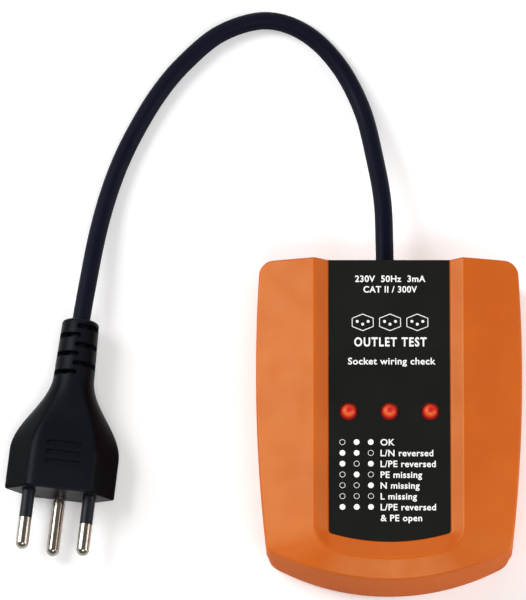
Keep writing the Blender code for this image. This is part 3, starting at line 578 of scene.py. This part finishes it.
def channel_corner(half, foot_y, radius):
    """Foot radius of a channel line and the centre of its right corner."""
    foot_radius = LOWER_CENTRE[1] - foot_y
    x = half - radius
    return foot_radius, (x, LOWER_CENTRE[1] - math.sqrt((foot_radius - radius) ** 2 - x ** 2))


RIDGE_FOOT, RIDGE_CORNER = channel_corner(*RIDGE_LINE)
CORNER_TURN = direction(LOWER_CENTRE, RIDGE_CORNER)
FOOT_STEPS, CORNER_STEPS, SIDE_STEPS = 12, 24, 26
END_STEPS, LOW_CORNER_STEPS, HIGH_CORNER_STEPS = 10, 8, 8


def u_line(right, end):
    """Runs down the left, round the foot and up the right, and their start on the left."""
    left = []
    for centre, turn, steps in reversed(right):
        if centre is None:
            first, last = turn
            left.append((None, ((-last[0], last[1]), (-first[0], first[1])), steps))
        else:
            left.append(((-centre[0], centre[1]), turn, steps))
    return (-end[0], end[1]), left + right


def outline_right(inset, corner=LOWER_CORNER_RADIUS):
    """Runs up the outline's right half from the lower end, the cord corner last, and their end."""
    low_radius = max(corner - inset, SMALLEST_CORNER)
    high_radius = max(CORD_CORNER_RADIUS - inset, SMALLEST_CORNER)
    end_radius = LOWER_END_RADIUS - inset
    side_radius = SIDE_RADIUS - inset
    low = circles_meet(LOWER_CENTRE, end_radius - low_radius, SIDE_CENTRE, side_radius - low_radius)
    high_y = CORD_END_Y - inset - high_radius
    reach = math.sqrt((side_radius - high_radius) ** 2 - (high_y - WIDEST_Y) ** 2)
    high = (SIDE_CENTRE[0] + reach, high_y)
    end_turn = direction(LOWER_CENTRE, low)
    side_low, side_high = direction(SIDE_CENTRE, low), direction(SIDE_CENTRE, high)
    level = math.asin((RIDGE_CORNER[1] - WIDEST_Y) / side_radius)
    runs = [(LOWER_CENTRE, CORNER_TURN + math.pi / 2, FOOT_STEPS),
            (LOWER_CENTRE, end_turn - CORNER_TURN, END_STEPS),
            (low, side_low - end_turn, LOW_CORNER_STEPS),
            (SIDE_CENTRE, level - side_low, CORNER_STEPS - END_STEPS - LOW_CORNER_STEPS),
            (SIDE_CENTRE, side_high - level, SIDE_STEPS),
            (high, math.pi / 2 - side_high, HIGH_CORNER_STEPS)]
    return runs, (high[0], CORD_END_Y - inset)


def channel_right(half, foot_y, radius, top_y):
    """Runs up the right half of a channel line from the middle of its bowed foot."""
    foot_radius, corner = channel_corner(half, foot_y, radius)
    turn = direction(LOWER_CENTRE, corner)
    return [(LOWER_CENTRE, turn + math.pi / 2, FOOT_STEPS), (corner, -turn, CORNER_STEPS),
            (None, ((half, corner[1]), (half, top_y)), SIDE_STEPS)]


def channel_distance(x, y, half, foot_y, radius):
    """Distance from a channel line, positive outside it."""
    foot_radius, corner = channel_corner(half, foot_y, radius)
    x = abs(x)
    if y < corner[1] and direction(LOWER_CENTRE, corner) < direction(corner, (x, y)) < 0:
        return math.dist(corner, (x, y)) - radius
    return max(x - half, math.dist(LOWER_CENTRE, (x, y)) - foot_radius)


def ridge_distance(vert):
    return channel_distance(vert.co.x, vert.co.y, *RIDGE_LINE)


# ---- case ------------------------------------------------------------------------------

def soften(body, edges, width, segments):
    bmesh.ops.bevel(body, geom=edges, offset=width, segments=segments, profile=0.5, affect="EDGES",
                    offset_type="OFFSET", loop_slide=True, clamp_overlap=False, material=-1)


def at_height(vert, z):
    return abs(vert.co.z - z) < TINY


def face_skin(inset, drop, low_z, finished):
    """Open skin of the front face with its upright walls, down to low_z."""
    body = bmesh.new()
    end_y = CORD_END_Y - inset
    runs, corner_end = outline_right(inset)
    top_y = runs[-1][0][1]
    rim = chain(body, (0.0, LOWER_END_Y + inset), runs[:-1])
    lines = [rim] + [chain(body, (0.0, each[1]), channel_right(*each, top_y))
                     for each in (RIDGE_LINE, FOOT_LINE, LIP_LINE, FLOOR_MARGIN_LINE)]
    known = {edge for each in lines for edge in each}
    for first, second in zip(lines, lines[1:]):
        bmesh.ops.bridge_loops(body, edges=first + second)
    rungs = [edge for edge in body.edges if edge.is_boundary and edge not in known
             and min(vert.co.y for vert in edge.verts) > WIDEST_Y]
    inner_rungs = [edge for edge in rungs if max(vert.co.x for vert in edge.verts) < RIDGE_LINE[0] + GAP]
    grown = bmesh.ops.extrude_edge_only(body, edges=inner_rungs)["geom"]
    grown = verts_among(grown)
    for vert in grown:
        vert.co.y = end_y
    by_reach = sorted(verts_of(rungs), key=lambda vert: vert.co.x)
    ridge_end = max(grown, key=lambda vert: vert.co.x)
    bend = chain(body, by_reach[-1].co.xy, runs[-1:])
    around = sorted(verts_of(bend), key=lambda vert: vert.co.y)
    bmesh.ops.pointmerge(body, verts=[around[0], by_reach[-1]], merge_co=by_reach[-1].co)
    around = [vert for vert in around if vert.is_valid and vert.co.y > top_y + GAP]
    rim_top = max((vert for vert in body.verts if vert.co.y < around[0].co.y), key=lambda vert: vert.co.x
                  if vert.co.y > top_y - GAP else 0.0)
    body.faces.new([rim_top] + [vert for vert in around if vert is not rim_top] + [ridge_end, by_reach[-2]])
    bmesh.ops.mirror(body, geom=body.verts[:] + body.edges[:] + body.faces[:], axis="X", merge_dist=TINY)

    for vert in body.verts:
        outside = ridge_distance(vert)
        if outside > -TINY:
            vert.co.z = RIDGE_Z - SHOULDER_SLOPE * max(outside, 0.0) - drop
        else:
            on_margin = abs(channel_distance(vert.co.x, vert.co.y, *FLOOR_MARGIN_LINE)) < 1e-5
            vert.co.z = (FLOOR_Z if on_margin else LIP_Z) - drop
    bmesh.ops.recalc_face_normals(body, faces=body.faces)
    if finished:
        ridge = [edge for edge in body.edges if not edge.is_boundary
                 and all(abs(ridge_distance(vert)) < TINY for vert in edge.verts)]
        soften(body, ridge, RIDGE_SOFTNESS, 5)
        foot = [edge for edge in body.edges if len(edge.link_faces) == 2 and all(
            abs(channel_distance(vert.co.x, vert.co.y, *FOOT_LINE)) < TINY for vert in edge.verts)]
        soften(body, foot, FOOT_SOFTNESS, 3)
    ends = [vert for vert in body.verts if vert.is_boundary and abs(vert.co.y - end_y) < TINY
            and abs(abs(vert.co.x) - FLOOR_MARGIN_LINE[0]) < TINY]
    across = body.edges.new(ends)
    inner = [edge for edge in body.edges
             if edge.is_boundary and all(at_height(vert, FLOOR_Z - drop) for vert in edge.verts)
             and not all(abs(vert.co.y - end_y) < TINY for vert in edge.verts)]
    holes = [circle(body, x, LAMP_Y, FLOOR_Z - drop, LAMP_HOLE_RADIUS) for x in LAMP_XS]
    hole_edges = {edge for hole in holes for edge in hole}
    fill(body, edges=inner + [across] + list(hole_edges))
    open_rim = [edge for edge in body.edges if edge.is_boundary and edge not in hole_edges]
    wall = bmesh.ops.extrude_edge_only(body, edges=open_rim)["geom"]
    for vert in verts_among(wall):
        vert.co.z = low_z
    bmesh.ops.recalc_face_normals(body, faces=body.faces)
    if finished:
        top_edges = [edge for edge in body.edges if len(edge.link_faces) == 2
                     and min(abs(face.normal.z) for face in edge.link_faces) < 0.02
                     and max(abs(face.normal.z) for face in edge.link_faces) > 0.3]
        soften(body, top_edges, EDGE_ROUND, 6)
    return body


def front_housing():
    low_z = PARTING_Z + GAP / 2
    body = face_skin(0.0, 0.0, low_z, True)
    join(body, face_skin(WALL, WALL, low_z, False))
    fill(body, edges=[
        edge for edge in body.edges
        if edge.is_boundary and all(at_height(vert, low_z) for vert in edge.verts)])
    for x in LAMP_XS:
        bmesh.ops.bridge_loops(body, edges=[edge for edge in body.edges if edge.is_boundary
                                            and abs(edge.verts[0].co.x - x) < LAMP_HOLE_RADIUS + 0.0002])
    body = carve(body, cord_opening())
    show("front_housing", body, FINISHES["orange_housing"], ("top_shell",))


def cord_opening():
    """Tool that opens both shells for the cord's bush."""
    return cylinder(CORD_HOLE_RADIUS, CORD_END_Y - 0.004, CORD_END_Y + 0.002, (CORD_X, CORD_Z))


def outline_ring(body, inset, z, corner=LOWER_CORNER_RADIUS):
    """Closed outline of the case at an inset and a height."""
    known = set(body.edges)
    runs, end = outline_right(inset, corner)
    start, runs = u_line(runs, end)
    chain(body, start, runs + [(None, (end, start), 24)])
    fresh = [edge for edge in body.edges if edge not in known]
    for vert in verts_of(fresh):
        vert.co.z = z
    bmesh.ops.remove_doubles(body, verts=list(verts_of(fresh)), dist=TINY)
    return [edge for edge in body.edges if edge not in known]


def rear_housing():
    """Lower shell: rounded base, drafted wall, tongue, open inside, with its screw wells."""
    rim_z = PARTING_Z - GAP / 2
    steps = ((0.0027, 0.0, 0.0068), (0.0021, 0.0001, 0.0066), (0.0016, 0.0004, 0.0064),
             (0.0012, 0.0009, 0.0062), (0.0009, 0.0015, 0.0060), (0.0008, 0.0022, 0.0058),
             (0.0002, rim_z - 0.0003, 0.0036),
             (0.0005, rim_z, 0.0036), (0.0025, rim_z, 0.0036), (0.0025, rim_z + 0.0016, 0.0036),
             (0.0034, rim_z + 0.0015, 0.0040), (0.0034, BASE_THICKNESS, 0.0058))
    body = bmesh.new()
    rings = [outline_ring(body, *step) for step in steps]
    for low, high in zip(rings, rings[1:]):
        bmesh.ops.bridge_loops(body, edges=low + high)
    wells, bosses = [], []
    for x, y in CASE_SCREWS:
        well = circle(body, x, y, 0.0, WELL_RADIUS + 0.0003, 32)
        wells += well
        edges = well
        for radius, z in ((WELL_RADIUS, 0.0003), (WELL_RADIUS, HEAD_SEAT_Z), (0.0016, HEAD_SEAT_Z),
                          (0.0016, rim_z), (0.0040, rim_z), (0.0040, BASE_THICKNESS)):
            grown = bmesh.ops.extrude_edge_only(body, edges=edges)["geom"]
            ring = verts_among(grown)
            for vert in ring:
                reach = (vert.co.xy - Vector((x, y))).normalized() * radius
                vert.co = (x + reach.x, y + reach.y, z)
            edges = [edge for edge in body.edges if edge.verts[0] in ring and edge.verts[1] in ring]
        bosses += edges
    fill(body, edges=rings[0] + wells)
    fill(body, edges=rings[-1] + bosses)
    body = carve(body, cord_opening())
    show("rear_housing", body, FINISHES["orange_housing"], ("bottom_shell",))


def face_label():
    body = bmesh.new()
    end = (LABEL_LINE[0], label_high[1])
    start, runs = u_line(channel_right(*LABEL_LINE, end[1]), end)
    chain(body, start, runs + [(None, (end, start), 1)])
    bmesh.ops.remove_doubles(body, verts=body.verts, dist=TINY)
    for x in LAMP_XS:
        circle(body, x, LAMP_Y, 0.0, LAMP_HOLE_RADIUS)
    fill(body, edges=body.edges)
    moved(body, Matrix.Translation((0, 0, label_low[2])))
    raised = bmesh.ops.extrude_face_region(body, geom=body.faces[:], use_keep_orig=True)["geom"]
    bmesh.ops.translate(body, verts=verts_among(raised), vec=(0, 0, label_high[2] - label_low[2]))
    show("face_label", body, FINISHES["label_film"], ("front_label",))


# ---- label print -----------------------------------------------------------------------

def lettering(words, x, y, cap_height, width=None, heavy=0.018, spacing=1.07, centred=False):
    """Flat letters of a cap height, stretched or squeezed to a width if one is given."""
    line_of_words = bpy.data.curves.new("words", "FONT")
    line_of_words.body = words
    line_of_words.offset = heavy
    line_of_words.space_character = spacing
    line_of_words.resolution_u = 4
    carrier = bpy.data.objects.new("words", line_of_words)
    bpy.context.scene.collection.objects.link(carrier)
    flat = bpy.data.meshes.new_from_object(carrier.evaluated_get(bpy.context.evaluated_depsgraph_get()))
    bpy.data.objects.remove(carrier, do_unlink=True)
    body = bmesh.new()
    body.from_mesh(flat)
    bpy.data.meshes.remove(flat)
    bmesh.ops.remove_doubles(body, verts=body.verts, dist=1e-5)
    left = min(vert.co.x for vert in body.verts)
    right = max(vert.co.x for vert in body.verts)
    rise = cap_height / CAP_SHARE
    across = width / (right - left) if width else rise
    start = x - (right - left) * across / 2 if centred else x
    place = Matrix.Translation((start - left * across, y - cap_height / 2, 0))
    return moved(body, place @ Matrix.Diagonal((across, rise, 1, 1)))


def disc(x, y, radius, hollow=False):
    body = bmesh.new()
    bmesh.ops.create_circle(body, cap_ends=True, segments=28, radius=radius,
                            matrix=Matrix.Translation((x, y, 0)))
    if hollow:
        bmesh.ops.inset_region(body, faces=body.faces[:], thickness=radius * 0.15, use_boundary=True)
        inner = [face for face in body.faces if len(face.verts) > 4]
        bmesh.ops.delete(body, geom=inner, context="FACES")
    return body


def socket_sign(x, y):
    """Outlined long hexagon with three contact holes: a generic wall socket."""
    body = bmesh.new()
    bmesh.ops.create_circle(body, cap_ends=True, segments=6, radius=1.0,
                            matrix=Matrix.Translation((x, y, 0)) @ Matrix.Diagonal((0.0039, 0.0028, 1, 1)))
    bmesh.ops.inset_region(body, faces=body.faces[:], thickness=0.00026, use_boundary=True)
    bmesh.ops.delete(body, geom=[face for face in body.faces if len(face.verts) > 4], context="FACES")
    for side, rise in ((-0.0017, 0.0003), (0.0017, 0.0003), (0.0, -0.0006)):
        join(body, disc(x + side, y + rise, 0.00045))
    return body


def label_print():
    body = bmesh.new()
    join(body, lettering("230V  50Hz  3mA", TEXT_MIDDLE, 0.0452, SMALL_TEXT, 0.0219, centred=True))
    join(body, lettering("CAT II / 300V", TEXT_MIDDLE, 0.0418, SMALL_TEXT, 0.0167, centred=True))
    for x in SIGN_XS:
        join(body, socket_sign(x, SIGN_Y))
    join(body, lettering("OUTLET TEST", TEXT_MIDDLE, 0.0249, 0.0029, 0.0225, heavy=0.026, spacing=1.2,
                         centred=True))
    join(body, lettering("Socket wiring check", 0.0008, 0.0187, 0.0022, 0.0272, centred=True))
    rows = (("OK", "011"), ("L/N reversed", "110"), ("L/PE reversed", "101"), ("PE missing", "010"),
            ("N missing", "001"), ("L missing", "000"), ("L/PE reversed", "111"), ("& PE open", ""))
    for number, (words, lamps) in enumerate(rows):
        y = CHART_TOP - CHART_PITCH * number
        join(body, lettering(words, CHART_TEXT_X, y, SMALL_TEXT))
        for x, lit in zip(CHART_DOT_XS, lamps):
            join(body, disc(x, y, CHART_DOT_RADIUS, lit == "0"))
    moved(body, Matrix.Translation((0, 0, label_high[2] + INK_LIFT)))
    raised = bmesh.ops.extrude_face_region(body, geom=body.faces[:], use_keep_orig=True)["geom"]
    bmesh.ops.translate(body, verts=verts_among(raised), vec=(0, 0, INK_THICKNESS))
    show("label_print", body, FINISHES["white_ink"], even=False)


# ---- lamps and screws --------------------------------------------------------------------

def lamp(word, x):
    low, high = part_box("led_" + word)
    tip = high[2]
    flange = (high[0] - low[0]) / 2
    foot_z = tip - LAMP_HEIGHT
    dome_z = tip - LAMP_RADIUS
    runs = line((0, foot_z), (flange, foot_z), (flange, foot_z + 0.001), (LAMP_RADIUS, foot_z + 0.001),
                (LAMP_RADIUS, dome_z))
    runs.append(((0, dome_z), math.pi / 2, 12))
    body = turned((0, foot_z), runs)
    moved(body, Matrix.Translation((x, LAMP_Y, 0)) @ UPRIGHT)
    across = body.loops.layers.uv.new("across")
    for face in body.faces:
        for loop in face.loops:
            loop[across].uv = ((loop.vert.co.x - x) / LAMP_RADIUS, (loop.vert.co.y - LAMP_Y) / LAMP_RADIUS)
    for side in (-0.00127, 0.00127):
        leg = rounded_bar((x + side - 0.00025, LAMP_Y - 0.00025, low[2]),
                          (x + side + 0.00025, LAMP_Y + 0.00025, foot_z + 0.0005), 0.0001, 2)
        join(body, leg)
    show("lamp_" + word, body, FINISHES["red_lamp"], ("led_" + word,), even=False)


def case_screw(number, x, y):
    low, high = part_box(f"case_screw_{number}")
    head, seat, tip = low[2], HEAD_SEAT_Z - GAP, high[2]
    radius = (high[0] - low[0]) / 2
    runs = line((0, head), (radius * 0.86, head))
    runs.append(((radius * 0.86, head + radius * 0.14), math.pi / 2, 4))
    runs += line((radius, head + radius * 0.14), (radius, seat), (0.0013, seat), (0.0013, tip - 0.001),
                 (0, tip))
    body = moved(turned((0, head), runs, 40), UPRIGHT)
    arm, half = radius * 0.62, radius * 0.13
    cross = rounded_bar((-arm, -half, head - 0.001), (arm, half, head + 0.0012), half * 0.4, 3)
    body = carve(body, cross)
    cross = rounded_bar((-half, -arm, head - 0.001), (half, arm, head + 0.0012), half * 0.4, 3)
    body = carve(body, cross)
    moved(body, Matrix.Translation((x, y, 0)))
    show(f"cross_screw_{number}", body, FINISHES["zinc_screw"], (f"case_screw_{number}",))


# ---- cord and plug -------------------------------------------------------------------------

def smooth_run(route, step):
    """Evenly spaced points of the smooth curve through the route."""
    knots = [Vector(point) for point in route]
    knots = [2 * knots[0] - knots[1]] + knots + [2 * knots[-1] - knots[-2]]
    fine = []
    for a, b, c, d in zip(knots, knots[1:], knots[2:], knots[3:]):
        for k in range(40):
            t = k / 40
            fine.append(0.5 * (2 * b + (c - a) * t + (2 * a - 5 * b + 4 * c - d) * t * t
                               + (3 * b - a - 3 * c + d) * t ** 3))
    fine.append(knots[-2])
    even, left_over = [fine[0]], 0.0
    for a, b in zip(fine, fine[1:]):
        left_over += (b - a).length
        if left_over >= step:
            even.append(b)
            left_over = 0.0
    if even[-1] != fine[-1]:
        even.append(fine[-1])
    return even


PLUG_FRAME = Matrix.Translation(PLUG_PLACE) @ Matrix.Rotation(PLUG_TURN, 4, "Z")


def plug_point(side, along, up=0.0):
    return PLUG_FRAME @ Vector((side, along, up))


def mains_lead():
    ends = [plug_point(0, NECK_TOP), plug_point(0, NECK_TOP - 0.012), plug_point(0, CORD_IN_PLUG)]
    points = smooth_run(list(CORD_ROUTE) + ends, 0.002)
    length = sum((b - a).length for a, b in zip(points, points[1:]))
    data = bpy.data.curves.new("mains_lead", "CURVE")
    data.dimensions = "3D"
    data.bevel_depth = CORD_RADIUS
    data.bevel_resolution = 10
    data.use_fill_caps = True
    spline = data.splines.new("POLY")
    spline.points.add(len(points) - 1)
    for knot, point in zip(spline.points, points):
        knot.co = (*point, 1.0)
    spline.use_smooth = True
    data.materials.append(FINISHES["cord_jacket"])
    lead = bpy.data.objects.new("mains_lead", data)
    bpy.context.scene.collection.objects.link(lead)
    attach(lead, "root")
    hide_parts("mains_cord")
    return lead, length


def cord_bush():
    inner = CORD_END_Y - WALL
    bore = CORD_RADIUS + 0.0001
    runs = line((bore, inner - 0.0016), (0.0057, inner - 0.0016), (0.0060, inner - 0.0013),
                (0.0060, inner - GAP),
                (0.0045, inner - GAP), (0.0045, CORD_END_Y + 0.0001),
                (0.0053, CORD_END_Y + 0.0001))
    runs += line((0.0053, CORD_END_Y + 0.0001), (0.0053, CORD_END_Y + 0.0006), (0.0051, CORD_END_Y + 0.0010),
                 (0.0047, CORD_END_Y + 0.0012), (0.0033, CORD_END_Y + 0.0012), (0.0030, CORD_END_Y + 0.0010),
                 (bore, CORD_END_Y + 0.0007), (bore, inner - 0.0016))
    body = turned((bore, inner - 0.0016), runs)
    moved(body, Matrix.Translation((CORD_X, 0, CORD_Z)))
    return show("cord_bush", body, FINISHES["grommet_rubber"], ("cord_grommet",))


def section_reach(turn):
    """How far the softly cornered six-sided section reaches, in shares of its half sizes."""
    side = math.sqrt(math.sin(turn) ** 2 + 0.0004)
    across = abs(math.cos(turn))
    power = 26
    return (side ** power + (across + (1 - PLUG_FLAT) * side) ** power) ** (-1 / power)


def plug_ring(body, along, half_width, half_height, roundness):
    made = bmesh.ops.create_circle(body, segments=96, radius=1.0)["verts"]
    for vert in made:
        turn = math.atan2(vert.co.y, vert.co.x)
        reach = section_reach(turn) * (1 - roundness) + roundness
        vert.co = (half_width * reach * math.cos(turn), along, half_height * reach * math.sin(turn))
    return list({edge for vert in made for edge in vert.link_edges})


def shoulder(first, last, wide, high, neck, steps):
    """Sections from six-sided to round along the plug's shoulder."""
    made = []
    for k in range(steps + 1):
        ease = (1 - math.cos(math.pi * k / steps)) / 2
        made.append((first + (last - first) * k / steps, wide + (neck - wide) * ease,
                     high + (neck - high) * ease, ease))
    return made


def plug_moulding():
    wide, high = PLUG_HALF_WIDTH, PLUG_HALF_HEIGHT
    neck_low, neck_high = NECK_RADIUS
    sections = [(0.0, wide - 0.0006, high - 0.0006, 0.0), (0.00015, wide - 0.00025, high - 0.00025, 0.0),
                (0.0005, wide - 0.00005, high - 0.00005, 0.0), (0.0009, wide, high, 0.0)]
    sections += shoulder(*PLUG_SHOULDER, wide, high, neck_low, 24)
    for share in (0.33, 0.66, 1.0):
        radius = neck_low + (neck_high - neck_low) * share
        along = PLUG_SHOULDER[1] + (NECK_TOP - 0.0018 - PLUG_SHOULDER[1]) * share
        sections.append((along, radius, radius, 1.0))
    for turn in (0.25, 0.5, 0.75, 1.0):
        radius = neck_high - 0.0014 * (1 - math.cos(turn * math.pi / 2))
        sections.append((NECK_TOP - 0.0018 + 0.0012 * math.sin(turn * math.pi / 2), radius, radius, 1.0))
    collar, bore = CORD_RADIUS + 0.0006, CORD_RADIUS + 0.0002
    for along, radius in ((NECK_TOP - 0.0005, collar), (NECK_TOP - 0.0001, collar),
                          (NECK_TOP, collar - 0.0002), (NECK_TOP - 0.0001, bore),
                          (NECK_TOP - 0.010, bore), (CORD_IN_PLUG, bore)):
        sections.append((along, radius, radius, 1.0))
    sections += reversed(shoulder(POCKET_END, CORD_IN_PLUG - 0.0001, *POCKET, bore, 8))
    sections.append((PIN_FACE_THICKNESS, *POCKET, 0.0))
    body = bmesh.new()
    rings = [plug_ring(body, *section) for section in sections]
    for low, high_ring in zip(rings, rings[1:]):
        bmesh.ops.bridge_loops(body, edges=low + high_ring)
    for ring in (rings[0], rings[-1]):
        bmesh.ops.edgeloop_fill(body, edges=ring)
    slots = bmesh.new()
    for number in range(6):
        side = 1 if number % 2 else -1
        along = SLOT_FIRST + number * SLOT_PITCH / 2
        inner, outer = sorted((-0.0008 * side, 0.009 * side))
        for low, high_end in ((SLOT_WEB, 0.009), (-0.009, -SLOT_WEB)):
            join(slots, rounded_bar((inner, along, low), (outer, along + SLOT_WIDTH, high_end),
                                    SLOT_WIDTH * 0.49))
    slots = carve(slots, cylinder(CORD_RADIUS + 0.0006, 0.030, 0.060, (0, 0)))
    body = carve(body, slots)
    grooves = bmesh.new()
    for number in (-1, 0, 1):
        along = GROOVE_MIDDLE + number * GROOVE_PITCH
        join(grooves, rounded_bar((-0.0055, along - 0.0008, high - 0.0006),
                                  (0.0055, along + 0.0008, high + 0.001), 0.00078))
    body = carve(body, grooves)
    bores = bmesh.new()
    for _, x, z in PINS:
        join(bores, cylinder(PIN_RADIUS + 0.0002, -0.001, PIN_FACE_THICKNESS + 0.0005, (x, z)))
    body = carve(body, bores)
    moved(body, PLUG_FRAME)
    return show("plug_moulding", body, FINISHES["plug_moulding"], ("plug_body",), sharp=32)


def plug_pin(word, x, z):
    shoulder_y = PIN_FACE_THICKNESS - GAP if word == "earth" else -SLEEVE_LENGTH - 0.0001
    round_y = -PIN_LENGTH + PIN_RADIUS
    runs = [((0, round_y), math.pi / 2, 12)]
    if word == "earth":
        runs += line((PIN_RADIUS, round_y), (PIN_RADIUS, -0.0019), (PIN_RADIUS - 0.0003, -0.0017),
                     (PIN_RADIUS - 0.0003, -0.0014), (PIN_RADIUS, -0.0012), (PIN_RADIUS, shoulder_y))
    else:
        runs += line((PIN_RADIUS, round_y), (PIN_RADIUS, shoulder_y))
    runs += line((PIN_RADIUS, shoulder_y), (PIN_NECK_RADIUS, shoulder_y), (PIN_NECK_RADIUS, PIN_TAIL),
                 (0, PIN_TAIL))
    body = turned((0, -PIN_LENGTH), runs, 40)
    moved(body, PLUG_FRAME @ Matrix.Translation((x, 0, z)))
    made = [show(f"pin_{word}", body, FINISHES["nickel_pin"], (f"{word}_pin",), sharp=50)]
    if word != "earth":
        bore, end = PIN_NECK_RADIUS + 0.0001, PIN_FACE_THICKNESS - GAP
        collar = PIN_RADIUS + 0.00012
        runs = line((bore, -SLEEVE_LENGTH), (PIN_RADIUS - 0.0001, -SLEEVE_LENGTH),
                    (PIN_RADIUS, 0.0001 - SLEEVE_LENGTH), (PIN_RADIUS, -0.0011), (collar, -0.0009),
                    (collar, end), (bore, end), (bore, -SLEEVE_LENGTH))
        body = turned((bore, -SLEEVE_LENGTH), runs, 40)
        moved(body, PLUG_FRAME @ Matrix.Translation((x, 0, z)))
        made.append(show(f"sleeve_{word}", body, FINISHES["pin_insulation"],
                         (f"{word}_pin_sleeve",)))
    return made


# ---- making --------------------------------------------------------------------------------

FINISHES = {
    "orange_housing": moulded("orange_satin_plastic", (0.505, 0.086, 0.004), (0.555, 0.103, 0.006),
                              (0.36, 0.44), 2200.0, 0.12, 0.38, (0.80, 1.0, 0.55), 0.9),
    "label_film": moulded("black_label_film", (0.0072, 0.0076, 0.0066), (0.0095, 0.0100, 0.0088),
                          (0.42, 0.52), 1800.0, 0.10, 0.08),
    "white_ink": moulded("white_screen_ink", (0.86, 0.86, 0.84), (0.93, 0.93, 0.92), (0.5, 0.6),
                         3000.0, 0.10),
    "cord_jacket": moulded("black_cord_jacket", (0.0035, 0.0042, 0.0105), (0.0055, 0.0062, 0.0140),
                           (0.40, 0.50), 1500.0, 0.25, 0.05, (0.85, 0.92, 1.0), 0.8),
    # the plug's side facets get painted shade, darkened in colour as they turn sideways
    "plug_moulding": moulded("black_plug_moulding", (0.0052, 0.0056, 0.0080), (0.0072, 0.0076, 0.0108),
                             (0.28, 0.36), 2400.0, 0.20, 0.05, (0.8, 0.9, 1.0), painted_side_shade=0.9),
    "pin_insulation": moulded("black_pin_sleeve", (0.0070, 0.0078, 0.0120), (0.0095, 0.0105, 0.0150),
                              (0.30, 0.40), 2000.0, 0.12, 0.12),
    "grommet_rubber": moulded("black_bush_rubber", (0.006, 0.006, 0.007), (0.010, 0.010, 0.011), (0.62, 0.74),
                              1600.0, 0.35, 0.2),
    "nickel_pin": plated("nickel_plated_brass", (0.26, 0.235, 0.20), (0.36, 0.33, 0.285), (0.16, 0.24)),
    "zinc_screw": plated("zinc_plated_steel", (0.52, 0.53, 0.54), (0.70, 0.70, 0.69), (0.28, 0.40)),
    "red_lamp": lamp_material(),
    "circuit_board": board_finish(),
    "lamp_spacer": moulded("natural_nylon_spacer", (0.60, 0.58, 0.52), (0.70, 0.68, 0.62), (0.45, 0.6),
                           1500.0, 0.15),
    "clamp_nylon": moulded("natural_nylon_clamp", (0.56, 0.54, 0.48), (0.66, 0.64, 0.58), (0.45, 0.6),
                           1500.0, 0.2),
    "resistor_coat": resistor_finish(),
    "diode_case": diode_finish(),
    "wire_brown": moulded("brown_wire_insulation", (0.12, 0.040, 0.018), (0.16, 0.055, 0.026), (0.38, 0.48),
                          1800.0, 0.1),
    "wire_blue": moulded("blue_wire_insulation", (0.010, 0.080, 0.34), (0.016, 0.10, 0.42), (0.38, 0.48),
                         1800.0, 0.1),
    "wire_green_yellow": earth_wire_finish(),
}

CARRIED_OVER = (
    ("circuit_board", ("circuit_board",)),
    ("lamp_spacer", ("led_spacer_left", "led_spacer_middle", "led_spacer_right")),
    ("clamp_nylon", ("cord_clamp",)), ("diode_case", ("diode_1", "diode_2", "diode_3")),
    ("resistor_coat", tuple(f"resistor_{number}" for number in range(1, 7))),
    ("zinc_screw", ("board_screw_1", "board_screw_2", "board_screw_3", "board_screw_4", "clamp_screw_left",
                    "clamp_screw_right")),
    ("wire_brown", ("case_wire_brown", "plug_wire_brown")),
    ("wire_blue", ("case_wire_blue", "plug_wire_blue")),
    ("wire_green_yellow", ("case_wire_earth", "plug_wire_earth")), ("pin_insulation", ("plug_carrier",)),
)

for finish, nodes in CARRIED_OVER:
    for node in nodes:
        for slot in bpy.data.objects[node].material_slots:
            slot.material = FINISHES[finish]


aim = add_camera()
add_stage(aim)

lead, lead_length = mains_lead()
plug_pieces = [cord_bush(), plug_moulding()]
for word, x, z in PINS:
    plug_pieces += plug_pin(word, x, z)

front_housing()
rear_housing()
face_label()
label_print()
for word, x in zip(("left", "middle", "right"), LAMP_XS):
    lamp(word, x)
for number, (x, y) in enumerate(CASE_SCREWS, 1):
    case_screw(number, x, y)
